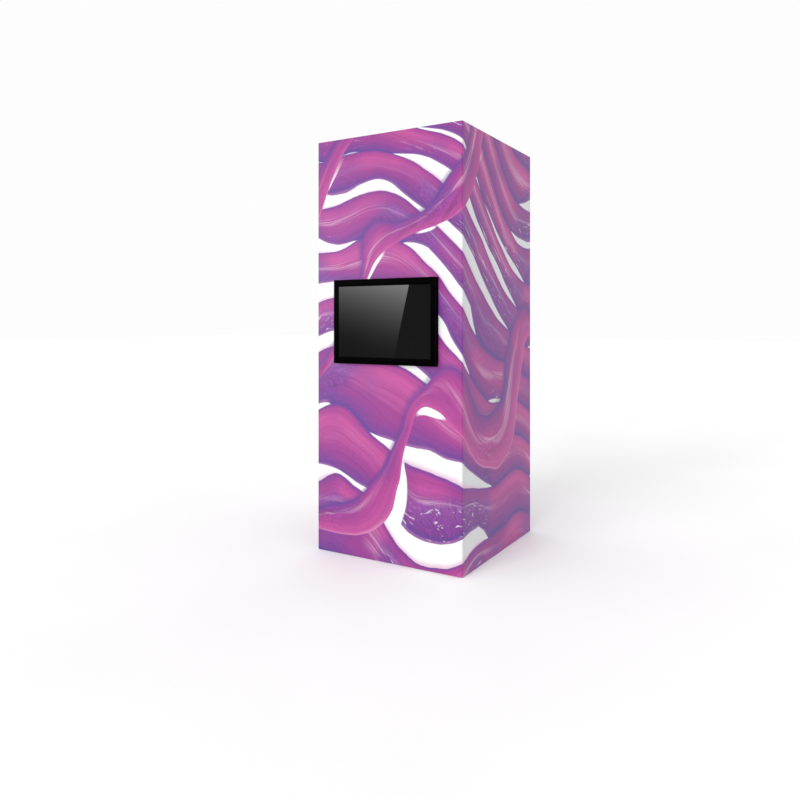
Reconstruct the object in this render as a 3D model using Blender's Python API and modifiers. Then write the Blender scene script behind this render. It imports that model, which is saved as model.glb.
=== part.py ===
"""Backlit display tower: an aluminium frame on levelling feet, one stretched printed
fabric wrapped round it and lit from inside, and a tilting monitor on its front.

Metres, +Z up. The front faces -Y. The origin is the centre of the bounding box on the
floor, so the tower's own centre line stands AXIS_Y behind it.

Most of the frame is drawn once, for the front side or for the front left corner, and
then turned about the tower's centre line for the other three. In those drawings n is
the distance inwards from the outer surface of the fabric.
"""

import math

import bmesh
import bpy
from mathutils import Matrix, Vector

# ---------------------------------------------------------------- driving dimensions
TOWER_H = 3.000  # top of the fabric above the floor
TOWER_W = 1.200  # outside of the fabric, both ways
CORNER_R = 0.012  # outer radius of the fabric round a post
FLOOR_GAP = 0.003  # lower edge of the fabric above the floor
GAP = 0.0003  # clearance between touching pieces
CLOTH = 0.001  # fabric thickness

FRAME_N = CLOTH + GAP  # outer face of the frame, n
POST = 0.050  # post width
WALL = 0.0025  # extrusion wall
RAIL_H = 0.060  # rail height
RAIL_D = 0.040  # rail depth
GROOVE = (0.0058, 0.0106)  # hem groove, n from and to
GROOVE_DEPTH = 0.015
HEM_N = (0.0061, 0.0071)  # fabric in the groove
STRIP_N = (0.0074, 0.0103)  # silicone strip in the groove
HEM_DROP = 0.013
LEDGE_N = 0.0333  # ledge that carries the top cover, from this n inwards
COVER_T = 0.004
PANEL_T = 0.009
PANEL_N = 0.025  # edge of the base panel, n

MID_Z = 1.500  # centre of the side and rear cross rails
CROSS_N = (0.012, 0.042)
CROSS_H = 0.050

MON_W = 0.844
MON_H = 0.599
MON_Z = 1.6805  # centre of the screen
MON_FRONT = 0.040  # front of the monitor, proud of the fabric
MON_DEPTH = 0.020
MON_RIM = 0.005  # rear edge of the rim round the monitor's back, in front of the fabric
SCREEN_W = 0.758
SCREEN_H = 0.500
VESA = 0.200  # mounting holes of the monitor, both ways
TILT_Z = 1.441  # tilt axis above the floor
TILT_N = 0.01175  # tilt axis in front of the fabric
BOLT_X = 0.120
BOLT_Z = (1.520, 1.840)

FOOT_PAD_R = 0.014
FOOT_STUD_R = 0.005

INLET_X = 0.350
INLET_Z = 0.0364
PLATE_PROUD = 0.004

HALF = TOWER_W / 2
BASE_Z = FLOOR_GAP + FRAME_N  # underside of the bottom rails
TOP_Z = TOWER_H - FRAME_N  # top of the top rails
POST_N = FRAME_N + POST  # inner face of a post, n
POST_C = FRAME_N + POST / 2  # centre of a post, n
RAIL_N = FRAME_N + RAIL_D  # inner face of a rail, n
AXIS_Y = (MON_FRONT - PLATE_PROUD) / 2

# ---------------------------------------------------------------- scene and materials
for old in list(bpy.data.objects):
    bpy.data.objects.remove(old, do_unlink=True)

scene = bpy.context.scene
scene.unit_settings.system = "METRIC"
scene.unit_settings.scale_length = 1.0

parts = bpy.data.collections.new("backlit_display_tower")
scene.collection.children.link(parts)
cutters = bpy.data.collections.new("cutters")
scene.collection.children.link(cutters)
cutters.hide_render = True


def material(name, colour, roughness, metallic=0.0):
    mat = bpy.data.materials.new(name)
    mat.use_nodes = True
    shader = mat.node_tree.nodes["Principled BSDF"]
    shader.inputs["Base Color"].default_value = (*colour, 1.0)
    shader.inputs["Roughness"].default_value = roughness
    shader.inputs["Metallic"].default_value = metallic
    mat.diffuse_color = (*colour, 1.0)
    return mat


FABRIC = material("printed_fabric", (0.48, 0.09, 0.34), 0.85)
SILICONE = material("silicone", (0.80, 0.80, 0.78), 0.50)
EXTRUSION = material("anodised_aluminium", (0.62, 0.63, 0.64), 0.38, 1.0)
CASTING = material("cast_aluminium", (0.50, 0.51, 0.52), 0.50, 1.0)
STEEL = material("zinc_plated_steel", (0.58, 0.58, 0.56), 0.35, 1.0)
BLACK_STEEL = material("black_steel", (0.02, 0.02, 0.02), 0.45, 0.2)
COVER = material("cover_sheet", (0.30, 0.30, 0.31), 0.55, 0.1)
BOARD = material("white_board", (0.82, 0.82, 0.80), 0.60)
LED = material("led_bar", (0.85, 0.87, 0.88), 0.30, 0.1)
SUPPLY = material("power_supply_case", (0.55, 0.56, 0.57), 0.40, 0.9)
BLACK_PLASTIC = material("black_plastic", (0.012, 0.012, 0.013), 0.35)
GREY_PLASTIC = material("grey_plastic", (0.06, 0.06, 0.065), 0.45)
SCREEN = material("screen_glass", (0.010, 0.010, 0.011), 0.08)
CABLE = material("cable_sheath", (0.03, 0.03, 0.03), 0.50)
RUBBER = material("foot", (0.05, 0.05, 0.05), 0.70)

# ---------------------------------------------------------------- helpers
tower = bpy.data.objects.new("tower_axis", None)
tower.location = (0.0, AXIS_Y, 0.0)
tower.empty_display_size = 0.2
parts.objects.link(tower)


def pivot(name, at):
    """An empty on a joint's axis, for the pieces that turn or slide with it."""
    empty = bpy.data.objects.new(name, None)
    empty.location = at
    empty.empty_display_size = 0.05
    empty.parent = tower
    parts.objects.link(empty)
    return empty


def box(bm, low, high):
    low, high = Vector(low), Vector(high)
    size = high - low
    place = Matrix.Translation((low + high) / 2) @ Matrix.Diagonal((*size, 1.0))
    return bmesh.ops.create_cube(bm, size=1.0, matrix=place)["verts"]


def rod(bm, start, end, radius, segments=16, radius_end=None):
    start, end = Vector(start), Vector(end)
    turn = Vector((0, 0, 1)).rotation_difference(end - start).to_matrix().to_4x4()
    return bmesh.ops.create_cone(
        bm,
        cap_ends=True,
        segments=segments,
        radius1=radius,
        radius2=radius if radius_end is None else radius_end,
        depth=(end - start).length,
        matrix=Matrix.Translation((start + end) / 2) @ turn,
    )["verts"]


def arc(cx, cy, radius, start, end, steps):
    return [
        (
            cx + radius * math.cos(math.radians(start + (end - start) * i / steps)),
            cy + radius * math.sin(math.radians(start + (end - start) * i / steps)),
        )
        for i in range(steps + 1)
    ]


def outline_mesh(name, loops, frame, length):
    """A flat outline with its holes, made solid as a filled 2D curve and turned into a mesh.

    frame has the outline's two directions and its origin as columns; the outline is
    thickened along the third direction, from the origin onwards.
    """
    curve = bpy.data.curves.new(name, "CURVE")
    curve.dimensions = "2D"
    curve.fill_mode = "BOTH"
    curve.extrude = length / 2
    for loop in loops:
        spline = curve.splines.new("POLY")
        spline.points.add(len(loop) - 1)
        for point, (a, b) in zip(spline.points, loop):
            point.co = (a, b, 0.0, 1.0)
        spline.use_cyclic_u = True
    holder = bpy.data.objects.new(name, curve)
    scene.collection.objects.link(holder)
    bpy.context.view_layer.update()
    graph = bpy.context.evaluated_depsgraph_get()
    mesh = bpy.data.meshes.new_from_object(holder.evaluated_get(graph))
    bpy.data.objects.remove(holder, do_unlink=True)
    bpy.data.curves.remove(curve)
    bm = bmesh.new()
    bm.from_mesh(mesh)
    bpy.data.meshes.remove(mesh)
    bmesh.ops.remove_doubles(bm, verts=bm.verts, dist=1e-6)
    ex, ey, origin = (Vector(v) for v in frame)
    ez = ex.cross(ey)
    place = Matrix((ex, ey, ez)).transposed().to_4x4()
    place.translation = origin + ez * (length / 2)
    bm.transform(place)
    bmesh.ops.recalc_face_normals(bm, faces=bm.faces)
    return bm


UP = (Vector((1, 0, 0)), Vector((0, 1, 0)))  # plan outline, thickened upwards
ALONG_X = (Vector((0, 1, 0)), Vector((0, 0, 1)))  # (y, z) outline, thickened along +X


def plan(loops, z0, z1, name="plan"):
    return outline_mesh(name, loops, (*UP, (0, 0, z0)), z1 - z0)


def side(loops, x0, x1, name="side"):
    return outline_mesh(name, loops, (*ALONG_X, (x0, 0, 0)), x1 - x0)


def put(name, bm, mat, at=(0, 0, 0), quarter=0, parent=tower, smooth=None, cut=False):
    """A piece from a mesh drawn in the tower's own frame. at is its reference point there, and quarter turns it about the tower's centre line."""
    at = Vector(at)
    bmesh.ops.recalc_face_normals(bm, faces=bm.faces)
    bm.transform(Matrix.Translation(-at))
    mesh = bpy.data.meshes.new(name)
    bm.to_mesh(mesh)
    bm.free()
    return place_mesh(name, mesh, mat, at, quarter, parent, smooth, cut)


def place_mesh(name, mesh, mat, at, quarter=0, parent=tower, smooth=None, cut=False):
    obj = bpy.data.objects.new(name, mesh)
    turn = Matrix.Rotation(quarter * math.pi / 2, 4, "Z")
    obj.rotation_euler = (0, 0, quarter * math.pi / 2)
    obj.parent = parent
    shift = Vector(parent.location) if parent is not tower else Vector((0, 0, 0))
    obj.location = turn @ Vector(at) - shift
    if cut:
        cutters.objects.link(obj)
        obj.hide_render = True
        obj.display_type = "WIRE"
    else:
        if not mesh.materials:
            mesh.materials.append(mat)
        parts.objects.link(obj)
        if smooth:
            mesh.shade_smooth()
            mesh.set_sharp_from_angle(angle=math.radians(smooth))
    return obj


def combine(obj, bm, operation, at=(0, 0, 0), quarter=0):
    """Joins or cuts obj with a mesh drawn in the tower's own frame."""
    name = f"{obj.name}_{operation.lower()}_{len(obj.modifiers) + 1}"
    other = put(name, bm, None, at, quarter, cut=True)
    modifier = obj.modifiers.new(operation.title(), "BOOLEAN")
    modifier.operation = operation
    modifier.object = other
    modifier.solver = "EXACT"
    return obj


def cut(obj, bm, quarter=0):
    return combine(obj, bm, "DIFFERENCE", quarter=quarter)


def join(obj, bm, quarter=0):
    return combine(obj, bm, "UNION", quarter=quarter)


def new_bm(*builders):
    bm = bmesh.new()
    for build, *args in builders:
        build(bm, *args)
    return bm


def bevel(bm, edges, width, segments=2):
    bmesh.ops.bevel(
        bm, geom=edges, offset=width, segments=segments, profile=0.5, affect="EDGES"
    )


def at_n(n):
    """Distance n inwards from the fabric, as a coordinate on the front or left side."""
    return -HALF + n


CORNERS = ("front_left", "front_right", "rear_right", "rear_left")
SIDES = ("front", "right", "rear", "left")

# ---------------------------------------------------------------- corner posts
# The two hems of the fabric are closed in twin grooves in one post's rear face. Drawn at
# the front left corner, that face is the left one: the numbers are distances along it.
CLOSE_A = (0.0285, 0.0330)
CLOSE_B = (0.0356, 0.0401)


def round_square(low, high, radius):
    """A square from low to high both ways, its outer corner round about the post's own centre of curvature."""
    c = at_n(CORNER_R)
    return arc(c, c, radius, 180, 270, 4) + [(high, low), (high, high), (low, high)]


def post_outline(closing):
    nose = arc(at_n(CORNER_R), at_n(CORNER_R), CORNER_R - FRAME_N, 180, 270, 4)
    out = at_n(FRAME_N)
    inner = at_n(POST_N)
    outline = nose + [(inner, out), (inner, inner), (out, inner)]
    hollow0, hollow1 = at_n(FRAME_N + WALL), at_n(POST_N - WALL)
    hollow = round_square(hollow0, hollow1, CORNER_R - FRAME_N - WALL)
    if closing:
        deep = at_n(FRAME_N + GROOVE_DEPTH)
        for a, b in (CLOSE_B, CLOSE_A):
            outline += [
                (out, at_n(b)),
                (deep, at_n(b)),
                (deep, at_n(a)),
                (out, at_n(a)),
            ]
        past = at_n(FRAME_N + GROOVE_DEPTH + WALL)
        hollow = hollow + [
            (hollow0, at_n(CLOSE_B[1] + WALL)),
            (past, at_n(CLOSE_B[1] + WALL)),
            (past, at_n(CLOSE_A[0] - WALL)),
            (hollow0, at_n(CLOSE_A[0] - WALL)),
        ]
    return [outline, hollow]


post_low = BASE_Z + RAIL_H + GAP
post_high = TOP_Z - RAIL_H - GAP
post_at = (at_n(POST_C), at_n(POST_C), post_low)
plain_post = None
for quarter, corner in enumerate(CORNERS):
    name = f"corner_post_{corner}"
    closing = corner == "rear_left"
    if plain_post is None or closing:
        bm = plan(post_outline(closing), post_low, post_high)
        post = put(name, bm, EXTRUSION, post_at, quarter)
        plain_post = plain_post or post.data
    else:
        place_mesh(name, plain_post, EXTRUSION, post_at, quarter)

# ---------------------------------------------------------------- rails
def rail_outline(top):
    """(n, z) outline of a rail. The bottom rail is the top one upside down, without the cover's ledge."""
    z = TOP_Z
    low = TOP_Z - RAIL_H
    n0, n1 = FRAME_N, RAIL_N
    outline = [
        (n0, z),
        (GROOVE[0], z),
        (GROOVE[0], z - GROOVE_DEPTH),
        (GROOVE[1], z - GROOVE_DEPTH),
        (GROOVE[1], z),
    ]
    if top:
        ledge = z - COVER_T - 2 * GAP
        outline += [(LEDGE_N, z), (LEDGE_N, ledge), (n1, ledge)]
    else:
        outline += [(n1, z)]
    outline += [(n1, low), (n0, low)]
    hollow = [
        (n0 + WALL, low + WALL),
        (n1 - WALL, low + WALL),
        (n1 - WALL, z - GROOVE_DEPTH - WALL),
        (n0 + WALL, z - GROOVE_DEPTH - WALL),
    ]
    if not top:
        flip = TOP_Z + BASE_Z
        outline = [(n, flip - h) for n, h in reversed(outline)]
        hollow = [(n, flip - h) for n, h in reversed(hollow)]
    return [[(at_n(n), h) for n, h in loop] for loop in (outline, hollow)]


rail_end = HALF - POST_N - GAP
for level in ("top", "bottom"):
    height = TOP_Z - RAIL_H / 2 if level == "top" else BASE_Z + RAIL_H / 2
    at = (0, at_n(FRAME_N + RAIL_D / 2), height)
    mesh = None
    for quarter, where in enumerate(SIDES):
        name = f"{level}_rail_{where}"
        if mesh is None or name == "bottom_rail_rear":
            bm = side(rail_outline(level == "top"), -rail_end, rail_end)
            rail = put(name, bm, EXTRUSION, at, quarter)
            mesh = mesh or rail.data
        else:
            rail = place_mesh(name, mesh, EXTRUSION, at, quarter)
        if name == "bottom_rail_rear":
            # Opening for the mains inlet through the outer wall, and the wires' way out
            # through the inner wall.
            bm = new_bm(
                (
                    box,
                    (INLET_X - 0.0363, HALF - 0.006, INLET_Z - 0.0140),
                    (INLET_X + 0.0363, HALF + 0.002, INLET_Z + 0.0140),
                ),
                (
                    rod,
                    (INLET_X, HALF - 0.046, 0.044),
                    (INLET_X, HALF - 0.036, 0.044),
                    0.010,
                    16,
                ),
            )
            cut(rail, bm)

# ---------------------------------------------------------------- corner connectors
def corner_outline():
    nose = arc(at_n(CORNER_R), at_n(CORNER_R), CORNER_R - FRAME_N, 180, 270, 4)
    out, inner = at_n(FRAME_N), at_n(POST_N)
    return [nose + [(inner, out), (inner, inner), (out, inner)]]


def groove_cutter(z0, z1):
    """The hem groove round a corner: an L with a round elbow, running out of the block at both ends."""
    n0, n1 = GROOVE
    c = at_n(CORNER_R)
    end = at_n(POST_N + 0.01)
    outer = arc(c, c, CORNER_R - n0, 270, 180, 5)
    inner = arc(c, c, CORNER_R - n1, 180, 270, 5)
    loop = (
        [(end, at_n(n0))] + outer + [(at_n(n0), end), (at_n(n1), end)] + inner
    ) + [(end, at_n(n1))]
    return plan([loop], z0, z1)


def connector(name, quarter, top, closing):
    """Block at a corner, with a spigot into the post and one into each rail."""
    flip = TOP_Z + BASE_Z

    def z_of(z):
        return flip - z if top else z

    def span(z0, z1):
        return sorted((z_of(z0), z_of(z1)))

    body0, body1 = span(BASE_Z, BASE_Z + RAIL_H)
    at = (at_n(POST_C), at_n(POST_C), (body0 + body1) / 2)
    obj = put(name, plan(corner_outline(), body0, body1), CASTING, at, quarter)
    clear = 0.0004
    post0 = at_n(FRAME_N + WALL + clear)
    post1 = at_n(POST_N - WALL - clear)
    # In the closing post the grooves take up the side of the hollow next to the face.
    post_u = at_n(FRAME_N + GROOVE_DEPTH + WALL + clear) if closing else post0
    z0, z1 = span(BASE_Z + RAIL_H - 0.005, BASE_Z + RAIL_H + 0.070)
    spigot = round_square(post0, post1, CORNER_R - FRAME_N - WALL - clear)
    if closing:
        inset = post0 + 0.0015  # inside the rounded corner of the hollow
        spigot = [(post_u, inset), (post1, inset), (post1, post1), (post_u, post1)]
    join(obj, plan([spigot], z0, z1), quarter)
    rail0, rail1 = at_n(FRAME_N + WALL + clear), at_n(RAIL_N - WALL - clear)
    z0, z1 = span(
        BASE_Z + GROOVE_DEPTH + WALL + clear, BASE_Z + RAIL_H - WALL - clear
    )
    start, end = at_n(POST_N - 0.005), at_n(POST_N + 0.060)
    join(obj, new_bm((box, (start, rail0, z0), (end, rail1, z1))), quarter)
    join(obj, new_bm((box, (rail0, start, z0), (rail1, end, z1))), quarter)
    z0, z1 = span(BASE_Z - 0.005, BASE_Z + GROOVE_DEPTH)
    cut(obj, groove_cutter(z0, z1), quarter)
    if not top:
        centre = at_n(POST_C)
        well = new_bm(
            (
                rod,
                (centre, centre, BASE_Z - 0.005),
                (centre, centre, FOOT_TOP + GAP),
                FOOT_PAD_R + 0.0006,
                16,
            )
        )
        cut(obj, well, quarter)
        bore = new_bm(
            (
                rod,
                (centre, centre, BASE_Z),
                (centre, centre, FOOT_TOP + 0.060),
                FOOT_STUD_R + GAP,
                12,
            )
        )
        cut(obj, bore, quarter)
    return obj


FOOT_TOP = 0.012  # top of a foot's pad at rest

for quarter, corner in enumerate(CORNERS):
    for level in ("top", "bottom"):
        connector(
            f"{level}_corner_{corner}", quarter, level == "top", corner == "rear_left"
        )

# ---------------------------------------------------------------- levelling feet
# A turned pad and threaded stud: the profile runs down its outer side, top to bottom.
foot_profile = [
    (0.0, 0.067),
    (FOOT_STUD_R - 0.001, 0.067),
    (FOOT_STUD_R, 0.066),
    (FOOT_STUD_R, FOOT_TOP),
    (FOOT_PAD_R - 0.001, FOOT_TOP),
    (FOOT_PAD_R, FOOT_TOP - 0.001),
    (FOOT_PAD_R, 0.001),
    (FOOT_PAD_R - 0.001, 0.0),
    (0.0, 0.0),
]
foot_mesh = bpy.data.meshes.new("levelling_foot")
bm = bmesh.new()
ring = [bm.verts.new((r, 0.0, z)) for r, z in foot_profile]
for a, b in zip(ring, ring[1:]):
    bm.edges.new((a, b))
bm.to_mesh(foot_mesh)
bm.free()
for quarter, corner in enumerate(CORNERS):
    foot = place_mesh(
        f"levelling_foot_{corner}",
        foot_mesh,
        RUBBER,
        (at_n(POST_C), at_n(POST_C), 0.0),
        quarter,
    )
    turn = foot.modifiers.new("Turned", "SCREW")
    turn.axis = "Z"
    turn.steps = turn.render_steps = 12
    turn.use_merge_vertices = True
    turn.merge_threshold = 0.00005
    turn.use_smooth_shade = True

# ---------------------------------------------------------------- mid rails, crossbars
def cross_rail(name, z, quarter):
    """A tube between two posts with a bolting plate on each end."""
    n0, n1 = CROSS_N
    low, high = z - CROSS_H / 2, z + CROSS_H / 2
    wall = 0.002
    loops = [
        [(at_n(n0), low), (at_n(n1), low), (at_n(n1), high), (at_n(n0), high)],
        [
            (at_n(n0 + wall), low + wall),
            (at_n(n1 - wall), low + wall),
            (at_n(n1 - wall), high - wall),
            (at_n(n0 + wall), high - wall),
        ],
    ]
    end = HALF - POST_N - GAP
    at = (0, at_n((n0 + n1) / 2), z)
    obj = put(name, side(loops, -end + 0.001, end - 0.001), EXTRUSION, at, quarter)
    for sign in (-1, 1):
        x0, x1 = sorted((sign * end, sign * (end - 0.003)))
        join(
            obj,
            new_bm(
                (box, (x0, at_n(n0), z - 0.040), (x1, at_n(n1 + 0.0012), z + 0.040))
            ),
            quarter,
        )
    holes = bmesh.new()
    for sign in (-1, 1):
        for up in (-0.0325, 0.0325):
            rod(
                holes,
                (sign * (end - 0.006), at_n((n0 + n1) / 2), z + up),
                (sign * (end + 0.003), at_n((n0 + n1) / 2), z + up),
                0.0033,
                6,
            )
    # A drain in the tube's lower wall.
    rod(holes, (0.02, at_n(0.027), low - 0.003), (0.02, at_n(0.027), low + 0.006), 0.004, 8)
    cut(obj, holes, quarter)
    return obj


for quarter, where in enumerate(SIDES):
    if where != "front":
        cross_rail(f"mid_rail_{where}", MID_Z, quarter)
for where, z in zip(("lower", "upper"), BOLT_Z):
    bar = cross_rail(f"monitor_crossbar_{where}", z, 0)
    bolts = bmesh.new()
    for x in (-BOLT_X, BOLT_X):
        rod(bolts, (x, at_n(0.005), z), (x, at_n(0.050), z), 0.0034, 8)
    cut(bar, bolts)

# ---------------------------------------------------------------- fabric
CLOSE_X = (-HALF + CLOSE_A[0] + GAP, -HALF + CLOSE_B[1] - GAP)


def round_path(n, left_end, right_end, steps=6):
    """The way round the tower at distance n inwards, from one end of the closing seam to the other."""
    c = HALF - CORNER_R
    r = CORNER_R - n
    path = [(left_end, HALF - n)]
    for cx, cy, start in ((-c, c, 90), (-c, -c, 180), (c, -c, 270), (c, c, 0)):
        path += arc(cx, cy, r, start, start + 90, steps)
    path.append((right_end, HALF - n))
    return path


def fabric_sheet():
    """The middle surface of the fabric: hem, fold, skin, fold, hem, and the two closing hems."""
    middle = CLOTH / 2
    hem = (HEM_N[0] + HEM_N[1]) / 2
    left, right = CLOSE_X[0] + middle, CLOSE_X[1] - middle
    top, bottom = TOWER_H - middle, FLOOR_GAP + middle
    steps = [
        (hem, top - HEM_DROP),
        (hem, top),
        (middle, top),
        (middle, post_high - 0.005),
        (middle, post_low + 0.005),
        (middle, bottom),
        (hem, bottom),
        (hem, bottom + HEM_DROP),
    ]
    bm = bmesh.new()
    rows = []
    for n, z in steps:
        points = [(x, y, z) for x, y in round_path(n, left, right)]
        if not rows:
            row = [bm.verts.new(p) for p in points]
            edges = [bm.edges.new(pair) for pair in zip(row, row[1:])]
        else:
            made = bmesh.ops.extrude_edge_only(bm, edges=edges)["geom"]
            edges = [g for g in made if isinstance(g, bmesh.types.BMEdge)]
            # The new edges run parallel to the old ones; order their points the same way.
            near = {}
            for old in rows[-1]:
                for link in old.link_edges:
                    other = link.other_vert(old)
                    if other not in rows[-1] and (len(rows) < 2 or other not in rows[-2]):
                        near[old] = other
            row = [near[v] for v in rows[-1]]
            for vert, p in zip(row, points):
                vert.co = p
            edges = [
                next(e for e in a.link_edges if e.other_vert(a) is b)
                for a, b in zip(row, row[1:])
            ]
        rows.append(row)
    for k in (0, -1):
        a, b = rows[3][k], rows[4][k]
        edge = next(e for e in a.link_edges if e.other_vert(a) is b)
        made = bmesh.ops.extrude_edge_only(bm, edges=[edge])["geom"]
        for vert in (g for g in made if isinstance(g, bmesh.types.BMVert)):
            vert.co.y -= HEM_DROP
    bmesh.ops.recalc_face_normals(bm, faces=bm.faces)
    return bm


fabric = put("fabric_wrap", fabric_sheet(), FABRIC, (0, 0, TOWER_H / 2), smooth=30)
thick = fabric.modifiers.new("Thickness", "SOLIDIFY")
thick.thickness = CLOTH
thick.offset = 0.0
thick.use_even_offset = True
thick.use_quality_normals = True
# Holes for the four stand-offs of the monitor mount and for the mains inlet.
holes = bmesh.new()
for x in (-BOLT_X, BOLT_X):
    for z in BOLT_Z:
        rod(holes, (x, at_n(-0.004), z), (x, at_n(0.004), z), 0.0076, 12)
box(
    holes,
    (INLET_X - 0.0400, HALF - 0.004, 0.0195),
    (INLET_X + 0.0400, HALF + 0.004, 0.0535),
)
cut(fabric, holes)


def strip_ring(z0, z1):
    n0, n1 = STRIP_N
    left, right = CLOSE_X[0] - 0.001, CLOSE_X[1] + 0.001
    loop = round_path(n0, left, right) + list(reversed(round_path(n1, left, right)))
    return plan([loop], z0, z1)


strip_top = TOP_Z - 0.0022
strip_bottom = BASE_Z + 0.0022
put("silicone_edge_top", strip_ring(strip_top - 0.012, strip_top), SILICONE)
put(
    "silicone_edge_bottom", strip_ring(strip_bottom, strip_bottom + 0.012), SILICONE
)
strip_w = CLOSE_A[1] - CLOSE_A[0] - CLOTH - 3 * GAP
for where, x0 in (
    ("left", -HALF + CLOSE_A[0] + 2 * GAP + CLOTH),
    ("right", -HALF + CLOSE_B[0] + GAP),
):
    bm = new_bm(
        (
            box,
            (x0, HALF - 0.0160, post_low + 0.007),
            (x0 + strip_w, HALF - 0.0040, post_high - 0.007),
        )
    )
    at = (x0 + strip_w / 2, HALF - 0.010, TOWER_H / 2)
    put(f"silicone_edge_closing_{where}", bm, SILICONE, at)

# ---------------------------------------------------------------- cover and base panel
def panel(name, half, low, thick, mat):
    """A square sheet with its corners cut out round the posts."""
    obj = put(name, new_bm((box, (-half, -half, low), (half, half, low + thick))), mat, (0, 0, low))
    corners = bmesh.new()
    inside, outside = HALF - POST_N - GAP, half + 0.02
    for a in (-1, 1):
        for b in (-1, 1):
            x0, x1 = sorted((a * inside, a * outside))
            y0, y1 = sorted((b * inside, b * outside))
            box(corners, (x0, y0, low - 0.01), (x1, y1, low + thick + 0.01))
    return cut(obj, corners)


cover_low = TOP_Z - COVER_T - GAP
cover = panel("top_cover", HALF - LEDGE_N - GAP, cover_low, COVER_T, COVER)
vents = bmesh.new()
for row in (-1, 1):
    for k in range(4):
        y = row * 0.30 + (k - 1.5) * 0.036
        box(vents, (-0.30, y - 0.004, cover_low - 0.01), (0.30, y + 0.004, TOP_Z + 0.01))
for x in (-0.44, 0.44):
    rod(vents, (x, 0, cover_low - 0.01), (x, 0, TOP_Z + 0.01), 0.0135, 12)
cut(cover, vents)

panel_low = BASE_Z + RAIL_H + GAP
base = panel("base_panel", HALF - PANEL_N, panel_low, PANEL_T, BOARD)
hole = new_bm(
    (
        rod,
        (INLET_X, HALF - 0.072, panel_low - 0.01),
        (INLET_X, HALF - 0.072, panel_low + 0.02),
        0.014,
        12,
    )
)
cut(base, hole)

# ---------------------------------------------------------------- LED bars
LED_LOW, LED_HIGH = 0.110, 2.910
LED_COUNT = 6
LED_LEG = 0.0080
LED_T = 0.0025

led_at = (at_n(POST_N + GAP), at_n(POST_N + GAP), LED_LOW)
near, far = at_n(POST_N + GAP), at_n(POST_N + GAP + LED_T)
tip = at_n(POST_N + GAP - LED_LEG)
for quarter, corner in enumerate(CORNERS):
    # An angle on the post's inner edge, with a row of lenses on each leg that shine along
    # the two faces.
    angle = [(near, tip), (far, tip), (far, far), (tip, far), (tip, near), (near, near)]
    bar = put(f"led_bar_{corner}", plan([angle], LED_LOW, LED_HIGH), LED, led_at, quarter)
    lenses = bmesh.new()
    for k in range(LED_COUNT):
        z = LED_LOW + (k + 0.5) * (LED_HIGH - LED_LOW) / LED_COUNT
        mid = (tip + near) / 2
        for start, end in (
            ((far - 0.001, mid, z), (far + 0.004, mid, z)),
            ((mid, far - 0.001, z), (mid, far + 0.004, z)),
        ):
            rod(lenses, start, end, 0.0035, 6, 0.0022)
    join(bar, lenses, quarter)

# ---------------------------------------------------------------- power supply, wiring
panel_top = panel_low + PANEL_T
supply_low = panel_top + GAP
supply_at = (0.12, 0.44, supply_low)
bm = bmesh.new()
box(bm, (0.0, 0.385, supply_low), (0.24, 0.495, supply_low + 0.042))
bevel(bm, [e for e in bm.edges], 0.0015, 1)
supply = put("power_supply", bm, SUPPLY, supply_at)
fins = bmesh.new()
for k in range(7):
    x = 0.045 + k * 0.028
    box(fins, (x, 0.392, supply_low + 0.035), (x + 0.003, 0.488, supply_low + 0.050))
join(supply, fins)
terminal = new_bm(
    (box, (-0.002, 0.400, supply_low + 0.022), (0.022, 0.480, supply_low + 0.050))
)
cut(supply, terminal)


def round_corners(points, radius, steps=3):
    """Points along an open route with its corners rounded."""
    out = [Vector(points[0])]
    for before, here, after in zip(points, points[1:], points[2:]):
        before, here, after = Vector(before), Vector(here), Vector(after)
        a = here + (before - here).normalized() * radius
        b = here + (after - here).normalized() * radius
        for i in range(steps + 1):
            t = i / steps
            out.append(a * (1 - t) ** 2 + here * 2 * t * (1 - t) + b * t**2)
    out.append(Vector(points[-1]))
    return out


wire_z = panel_top + GAP + 0.0035
wire_n = 0.0555
wire = bpy.data.curves.new("led_wiring", "CURVE")
wire.dimensions = "3D"
wire.bevel_depth = 0.0035
wire.bevel_resolution = 2
wire.use_fill_caps = True
route = round_corners(
    [
        (-0.001, 0.44, wire_z),
        (-0.10, 0.44, wire_z),
        (-0.10, HALF - wire_n, wire_z),
        (-HALF + wire_n, HALF - wire_n, wire_z),
        (-HALF + wire_n, -HALF + wire_n, wire_z),
        (HALF - wire_n, -HALF + wire_n, wire_z),
        (HALF - wire_n, HALF - wire_n - 0.02, wire_z),
    ],
    0.035,
)
spline = wire.splines.new("POLY")
spline.points.add(len(route) - 1)
for point, co in zip(spline.points, route):
    point.co = (*co, 1.0)
wire.materials.append(CABLE)
wiring = bpy.data.objects.new("led_wiring", wire)
wiring.parent = tower
parts.objects.link(wiring)

# ---------------------------------------------------------------- mains inlet group
body_x = (INLET_X - 0.0360, INLET_X + 0.0360)
body_z = (INLET_Z - 0.0137, INLET_Z + 0.0137)
face_y = HALF + PLATE_PROUD - 0.0005
bm = bmesh.new()
box(
    bm,
    (INLET_X - 0.0460, HALF + GAP, 0.0170),
    (INLET_X + 0.0460, HALF + PLATE_PROUD, 0.0560),
)
bevel(
    bm,
    [
        e
        for e in bm.edges
        if abs(e.verts[0].co.y - e.verts[1].co.y) > 0.001
        or min(e.verts[0].co.y, e.verts[1].co.y) > HALF + 0.003
    ],
    0.0012,
    2,
)
plate = put("inlet_plate", bm, BLACK_PLASTIC, (INLET_X, HALF, INLET_Z))
window = new_bm(
    (
        box,
        (body_x[0] - GAP, HALF - 0.01, body_z[0] - GAP),
        (body_x[1] + GAP, HALF + 0.01, body_z[1] + GAP),
    )
)
cut(plate, window)

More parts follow.
